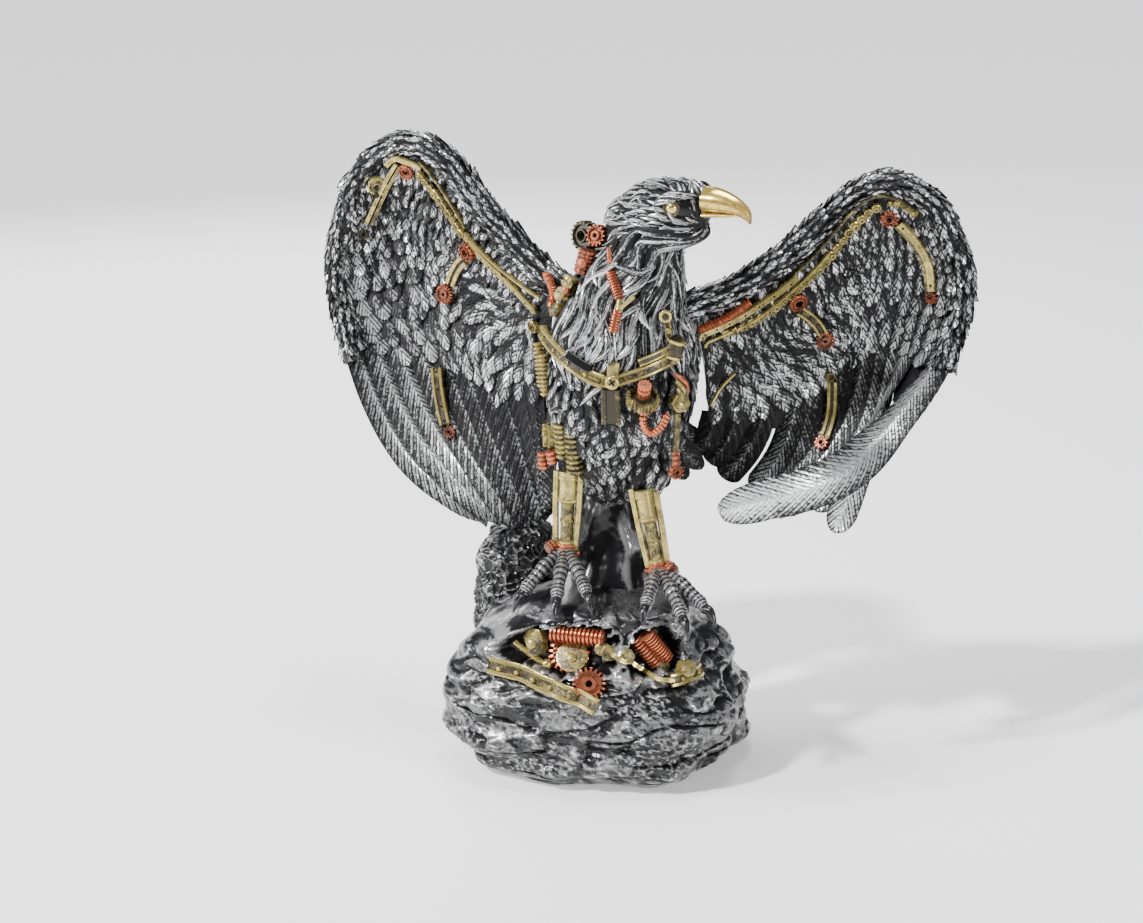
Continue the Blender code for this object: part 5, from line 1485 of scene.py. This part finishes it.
def hipClockwork():
    brass = [drumChunk(proud((-17.5, -22, 80)), proud((-16.5, -20, 63)), 3.7, 7, 0.3, 0, 0.7),
             drumChunk(proud((-11.5, -25, 77)), proud((-10.5, -23, 57)), 3.9, 8, 0.3, 0, 0.6),
             gearChunk(proud((-26.5, -14, 71)), (-1, -0.35, 0), 5.2, 2.4, 14, 0.12, 0.3, 0.8),
             gearChunk(proud((-23.5, -17, 71)), (-1, -0.35, 0), 5.6, 2.4, 16, 0.12, 0.3, 0.6)]
    copper = [drumChunk(proud((-21, -21, 66.5), 4), proud((-20, -20, 60), 4), 2.6, 3, 0.25, 0, 0.8),
              drumChunk(proud((-25.5, -17, 64), 4), proud((-25.5, -17, 56), 4), 2.5, 4, 0.25, 0, 0.8),
              gearChunk(proud((30.5, -19, 60), 3), (0.9, -1, 0.1), 3.4, 3.0, 10, 0.3, 0.3, 0.8),
              drumChunk(proud((30, -19, 70), 3), proud((31, -19, 63), 3), 2.0, 3, 0.25, 0, 0.7)]
    pipe = np.linspace(proud((33, -22, 88), 1.5), proud((31, -19, 62), 1.5), 14)
    brass.append(tubeChunk(pipe, 1.5, 10, 0.55))
    brass.append(drumChunk(pose((-34.5, -7, 112)), pose((-31.5, -10, 92)), 2.7, 11, 0.3, 0, 0.8))
    brass.append(drumChunk(pose((-29.8, -15.5, 109)), pose((-28, -17.5, 90)), 2.5, 10, 0.35, 0, 0.8))
    return brass, copper


def toes(side):
    # ringed toes that end in dark claws
    start = pose(legForm[side][1]) - [0, 0, 2.0]
    skinRings, claws = [], []
    sides, folds = 16, 13
    for tip in legForm[side + "Toes"]:
        end = pose(tip)
        heel = start + (end - start) * [0.08, 0.08, 0]
        knuckle = start + (end - start) * 0.40 + [0, 0, 3.6]
        joint = start + (end - start) * 0.72 + [0, 0, 3.2]
        last = start + (end - start) * 0.86 + [0, 0, 1.8]
        t = np.linspace(0, 1, 90)
        path = curveThrough(np.array([heel, knuckle, joint, last]), t)
        rings = np.abs(np.sin(t * folds * math.pi)) ** 0.6
        knobs = np.exp(-((t - 0.36) / 0.08) ** 2) + np.exp(-((t - 0.72) / 0.08) ** 2)
        radius = legForm["toe"] * (0.98 - 0.28 * t) * (0.84 + 0.16 * rings) + 0.55 * knobs
        points, quads, _ = tubeChunk(path, radius, sides)
        tone = np.concatenate([np.repeat(0.15 + 0.75 * rings, sides), [0.3, 0.3]])
        skinRings.append((points, quads, tone))
        away = unit(end - start)
        hook = curveThrough(np.array([last - away * 1.5, last + away * 2.8 + [0, 0, 0.9], end + [0, 0, 0.2],
                                      end + away * 1.8 - [0, 0, 2.2]]), np.linspace(0, 1, 26))
        claws.append(tubeChunk(hook, 2.35 * (1 - np.linspace(0, 1, 26) ** 1.6) + 0.12, 14, 0.55))
    return skinRings, claws


tailForm = {"root": (2, 18, 85), "count": 9, "apart": 11.0, "long": 60.0, "shorter": 1.6, "half": 6.2,
            "step": 1.4, "tone": 0.75}
tailLook = dict(flightLook, grid=(60, 11), tip=0.22, root=0.5, notch=0.25, camber=0.9)


def tailFan():
    root, count = pose(tailForm["root"]), tailForm["count"]
    rows, cols = tailLook["grid"]
    t, s = np.linspace(0, 1, rows), np.linspace(-1, 1, cols)
    centres = []
    for k in range(count):
        angle = math.radians(tailForm["apart"] * (k - count // 2))
        aim = unit((math.sin(angle), 0.42, -0.90 * math.cos(angle)))
        long = tailForm["long"] - abs(k - count // 2) * tailForm["shorter"]
        centres.append(root + aim * long * t[:, None] - np.array([0, tailForm["step"] * (k % 2), 0]))
    normals = np.tile(unit(np.array([0, -1.0, -0.3])), (count, rows, 1))
    return strands(np.array(centres), normals, np.full(count, tailForm["half"]), tailLook,
                   np.zeros((count, rows)), t, s, np.full(count, tailForm["tone"]))


legBrass, legCopper = hipClockwork()
footSkin, footClaws = [], []
for side, outward in (("left", -1.0), ("right", 1.0)):
    brass, cuff = clockLeg(side, outward)
    legBrass += brass
    legCopper += cuff
    skinRings, claws = toes(side)
    footSkin += skinRings
    footClaws += claws
makePiece("legBrass", legBrass, "brass", 40.0)
makePiece("legCopper", legCopper, "copper", 40.0)
makePiece("toes", footSkin, "foot", 60.0)
makePiece("claws", footClaws, "claw", 60.0)
makePiece("tail", [tailFan()], "darkFeather")
print("legs dressed")

# clockwork in the rock

def rockPath(spots, out, count=16):
    line = curveThrough(np.array(spots, float), np.linspace(0, 1, count))
    return onRock(line[:, 0], line[:, 1], out)


def rockOut(degrees, up=0.2):
    return unit((math.sin(math.radians(degrees)), -math.cos(math.radians(degrees)), up))


rockWork = {
    # drums: start and end as degrees, height share and distance out, then radius, ribs and tone
    "drums": (((-14, 0.875, -3.0), (14, 0.875, -3.0), 4.1, 13, 0.9),
              ((33, 0.90, -2.0), (47, 0.73, -2.5), 4.2, 11, 0.9),
              ((29, 0.87, -4.0), (42, 0.71, -4.0), 3.4, 10, 0.8)),
    # wheels: spot, how far the face tips up, radius, thickness, teeth and the depth of their gaps
    "wheels": (((1, 0.765, 3.0), 0.75, 9.6, 4.6, 20, 0.30), ((11, 0.645, 1.6), 0.35, 7.4, 4.0, 18, 0.24)),
    # bosses: spot, how far the face tips up, radius, thickness, sides, dome and tone
    "bosses": (
        ((3, 0.75, 5.0), 0.75, 7.2, 3.4, 36, 0.2, 0.8), ((3, 0.755, 7.2), 0.75, 2.0, 2.4, 16, 0.3, 0.9),
        ((9, 0.75, 6.0), 0.6, 1.5, 2.4, 16, 0.3, 0.9), ((-19, 0.83, 3.0), 0.2, 5.2, 6.0, 6, 0.2, 0.8),
        ((-15, 0.79, 4.0), 0.2, 4.0, 6.0, 8, 0.2, 0.6), ((-17, 0.81, 6.0), 0.2, 2.2, 5.0, 16, 0.3, 0.9),
        ((15, 0.82, 4.6), 0.2, 3.0, 4.0, 10, 0.3, 0.8), ((19, 0.80, 3.6), 0.2, 3.8, 4.0, 6, 0.3, 0.7),
        ((26, 0.80, 2.5), 0.2, 3.6, 4.0, 6, 0.3, 0.7), ((52, 0.69, 3.0), 0.2, 4.6, 5.0, 6, 0.3, 0.85),
        ((44, 0.70, 4.0), 0.2, 3.6, 5.0, 6, 0.3, 0.75), ((4, 0.585, 3.2), 0.35, 2.5, 2.6, 8, 0.2, 0.7)),
    # strips: spots along them, width and distance out
    "strips": ((((-31, 0.68), (-18, 0.66), (-6, 0.61), (6, 0.575), (13, 0.54)), 7.6, 2.2),
               (((17, 0.83), (27, 0.76), (36, 0.68), (44, 0.65)), 2.2, 3.6),
               (((43, 0.65), (52, 0.66), (61, 0.655)), 6.0, 3.0)),
    "rivets": ((-26, 0.675), (-19, 0.665), (-12, 0.64), (-5, 0.61), (3, 0.585), (10, 0.56), (48, 0.655),
               (57, 0.66)),
    "rivetOut": 4.2, "ball": (-9, 0.70, 3.0), "ballSize": (2.7, 2.7, 2.7),
    "rod": ((-27, 0.80), (-18, 0.74), (-9, 0.69)), "rodOut": 2.0,
}


def rockClockwork():
    def spot(degrees, height, out):
        return onRock([degrees], [height], out)[0]

    def flush(degrees, height, out):
        # measured from the unbroken face of the rock
        point, outward = rockPoint(np.array([float(degrees)]), np.array([height]))
        return point[0] + outward[0] * out
    copper = [drumChunk(flush(*first), flush(*last), radius, ribs, 0.30, 0, tone)
              for first, last, radius, ribs, tone in rockWork["drums"]]
    for place, tip, radius, thick, teeth, bite in rockWork["wheels"]:
        copper.append(gearChunk(spot(*place), rockOut(place[0], tip), radius, thick, teeth, bite, 0.2, 0.85))
    brass = [discChunk(spot(*place), rockOut(place[0], tip), radius, thick, sides, dome, tone)
             for place, tip, radius, thick, sides, dome, tone in rockWork["bosses"]]
    brass.append(ballChunk(spot(*rockWork["ball"]), rockWork["ballSize"], 0, 0, 20, 0.95))
    brass.append(tubeChunk(rockPath(rockWork["rod"], rockWork["rodOut"]), 1.5, 12, 0.8))
    for band, width, out in rockWork["strips"]:
        path = rockPath(band, out, 20)
        degrees = np.linspace(band[0][0], band[-1][0], 20)
        normal = np.array([rockOut(turn, 0.35) for turn in degrees])
        brass.append(barChunk(path, normal, width, 3.2, 0.5, 0.85, 0.6 if width > 4 else 0.0))
    for degrees, height in rockWork["rivets"]:
        place = spot(degrees, height, rockWork["rivetOut"])
        brass.append(discChunk(place, rockOut(degrees, 0.35), 1.0, 1.6, 12, 0.4, 0.95))
    return brass, copper


rockBrass, rockCopper = rockClockwork()
makePiece("rockBrass", rockBrass, "brass", 40.0)
makePiece("rockCopper", rockCopper, "copper", 40.0)
print("rock clockwork dressed")

# floor, light and camera

stageLook = {"target": (-28.6, 29.3, 127.5), "away": 1500.0, "azimuth": 15.0, "elevation": 16.0,
             "lens": 101.15,
             "floor": {"size": 8.0, "below": 0.0004, "pale": 0.95, "rough": 0.7, "glow": 0.35},
             "sky": (0.96, 0.98, 1.0), "skyPower": 0.22, "aim": (0.0, 0.0, 0.14),
             # each lamp's place in metres, its size (for the key, an angle) and its power
             "lamps": {"key": ((-0.60, -0.70, 1.05), 0.08, 4.6), "side": ((-0.85, -0.45, 0.40), 0.22, 8.0),
                       "fill": ((0.95, -0.80, 0.45), 0.25, 7.0), "top": ((0.05, 0.10, 1.15), 0.40, 9.0),
                       "back": ((-0.6, 0.9, 0.6), 0.8, 8.0)}}


def studio():
    look = stageLook["floor"]
    bpy.ops.mesh.primitive_plane_add(size=look["size"], location=(0, 0, cadBox[0][2] - look["below"]))
    floor = bpy.context.object
    floor.name = "floor"
    white = bpy.data.materials.new("floorWhite")
    white.use_nodes = True
    shader = white.node_tree.nodes["Principled BSDF"].inputs
    shader["Base Color"].default_value = (look["pale"], look["pale"], look["pale"], 1)
    shader["Roughness"].default_value = look["rough"]
    shader["Emission Color"].default_value = (1, 1, 1, 1)
    shader["Emission Strength"].default_value = look["glow"]
    floor.data.materials.append(white)
    world = bpy.data.worlds.new("studio")
    world.use_nodes = True
    sky = world.node_tree.nodes["Background"].inputs
    sky["Color"].default_value = (*stageLook["sky"], 1)
    sky["Strength"].default_value = stageLook["skyPower"]
    bpy.context.scene.world = world
    for name, (place, size, power) in stageLook["lamps"].items():
        lamp = bpy.data.lights.new(name, "SUN" if name == "key" else "AREA")
        if name == "key":
            lamp.angle = size
        else:
            lamp.size = size
        lamp.energy = power
        light = bpy.data.objects.new(name, lamp)
        light.location = place
        aim = Vector(stageLook["aim"]) - Vector(place)
        light.rotation_euler = aim.to_track_quat("-Z", "Y").to_euler()
        bpy.context.scene.collection.objects.link(light)


def cameraAt(look):
    azimuth, elevation = math.radians(look["azimuth"]), math.radians(look["elevation"])
    back = Vector((math.sin(azimuth) * math.cos(elevation), -math.cos(azimuth) * math.cos(elevation),
                   math.sin(elevation)))
    lens = bpy.data.cameras.new("photoView")
    lens.lens = look["lens"]
    camera = bpy.data.objects.new("photoView", lens)
    target = Vector(look["target"]) * mm
    camera.location = target + back * look["away"] * mm
    camera.rotation_euler = (-back).to_track_quat("-Z", "Y").to_euler()
    bpy.context.scene.collection.objects.link(camera)
    bpy.context.scene.camera = camera


studio()
cameraAt(stageLook)
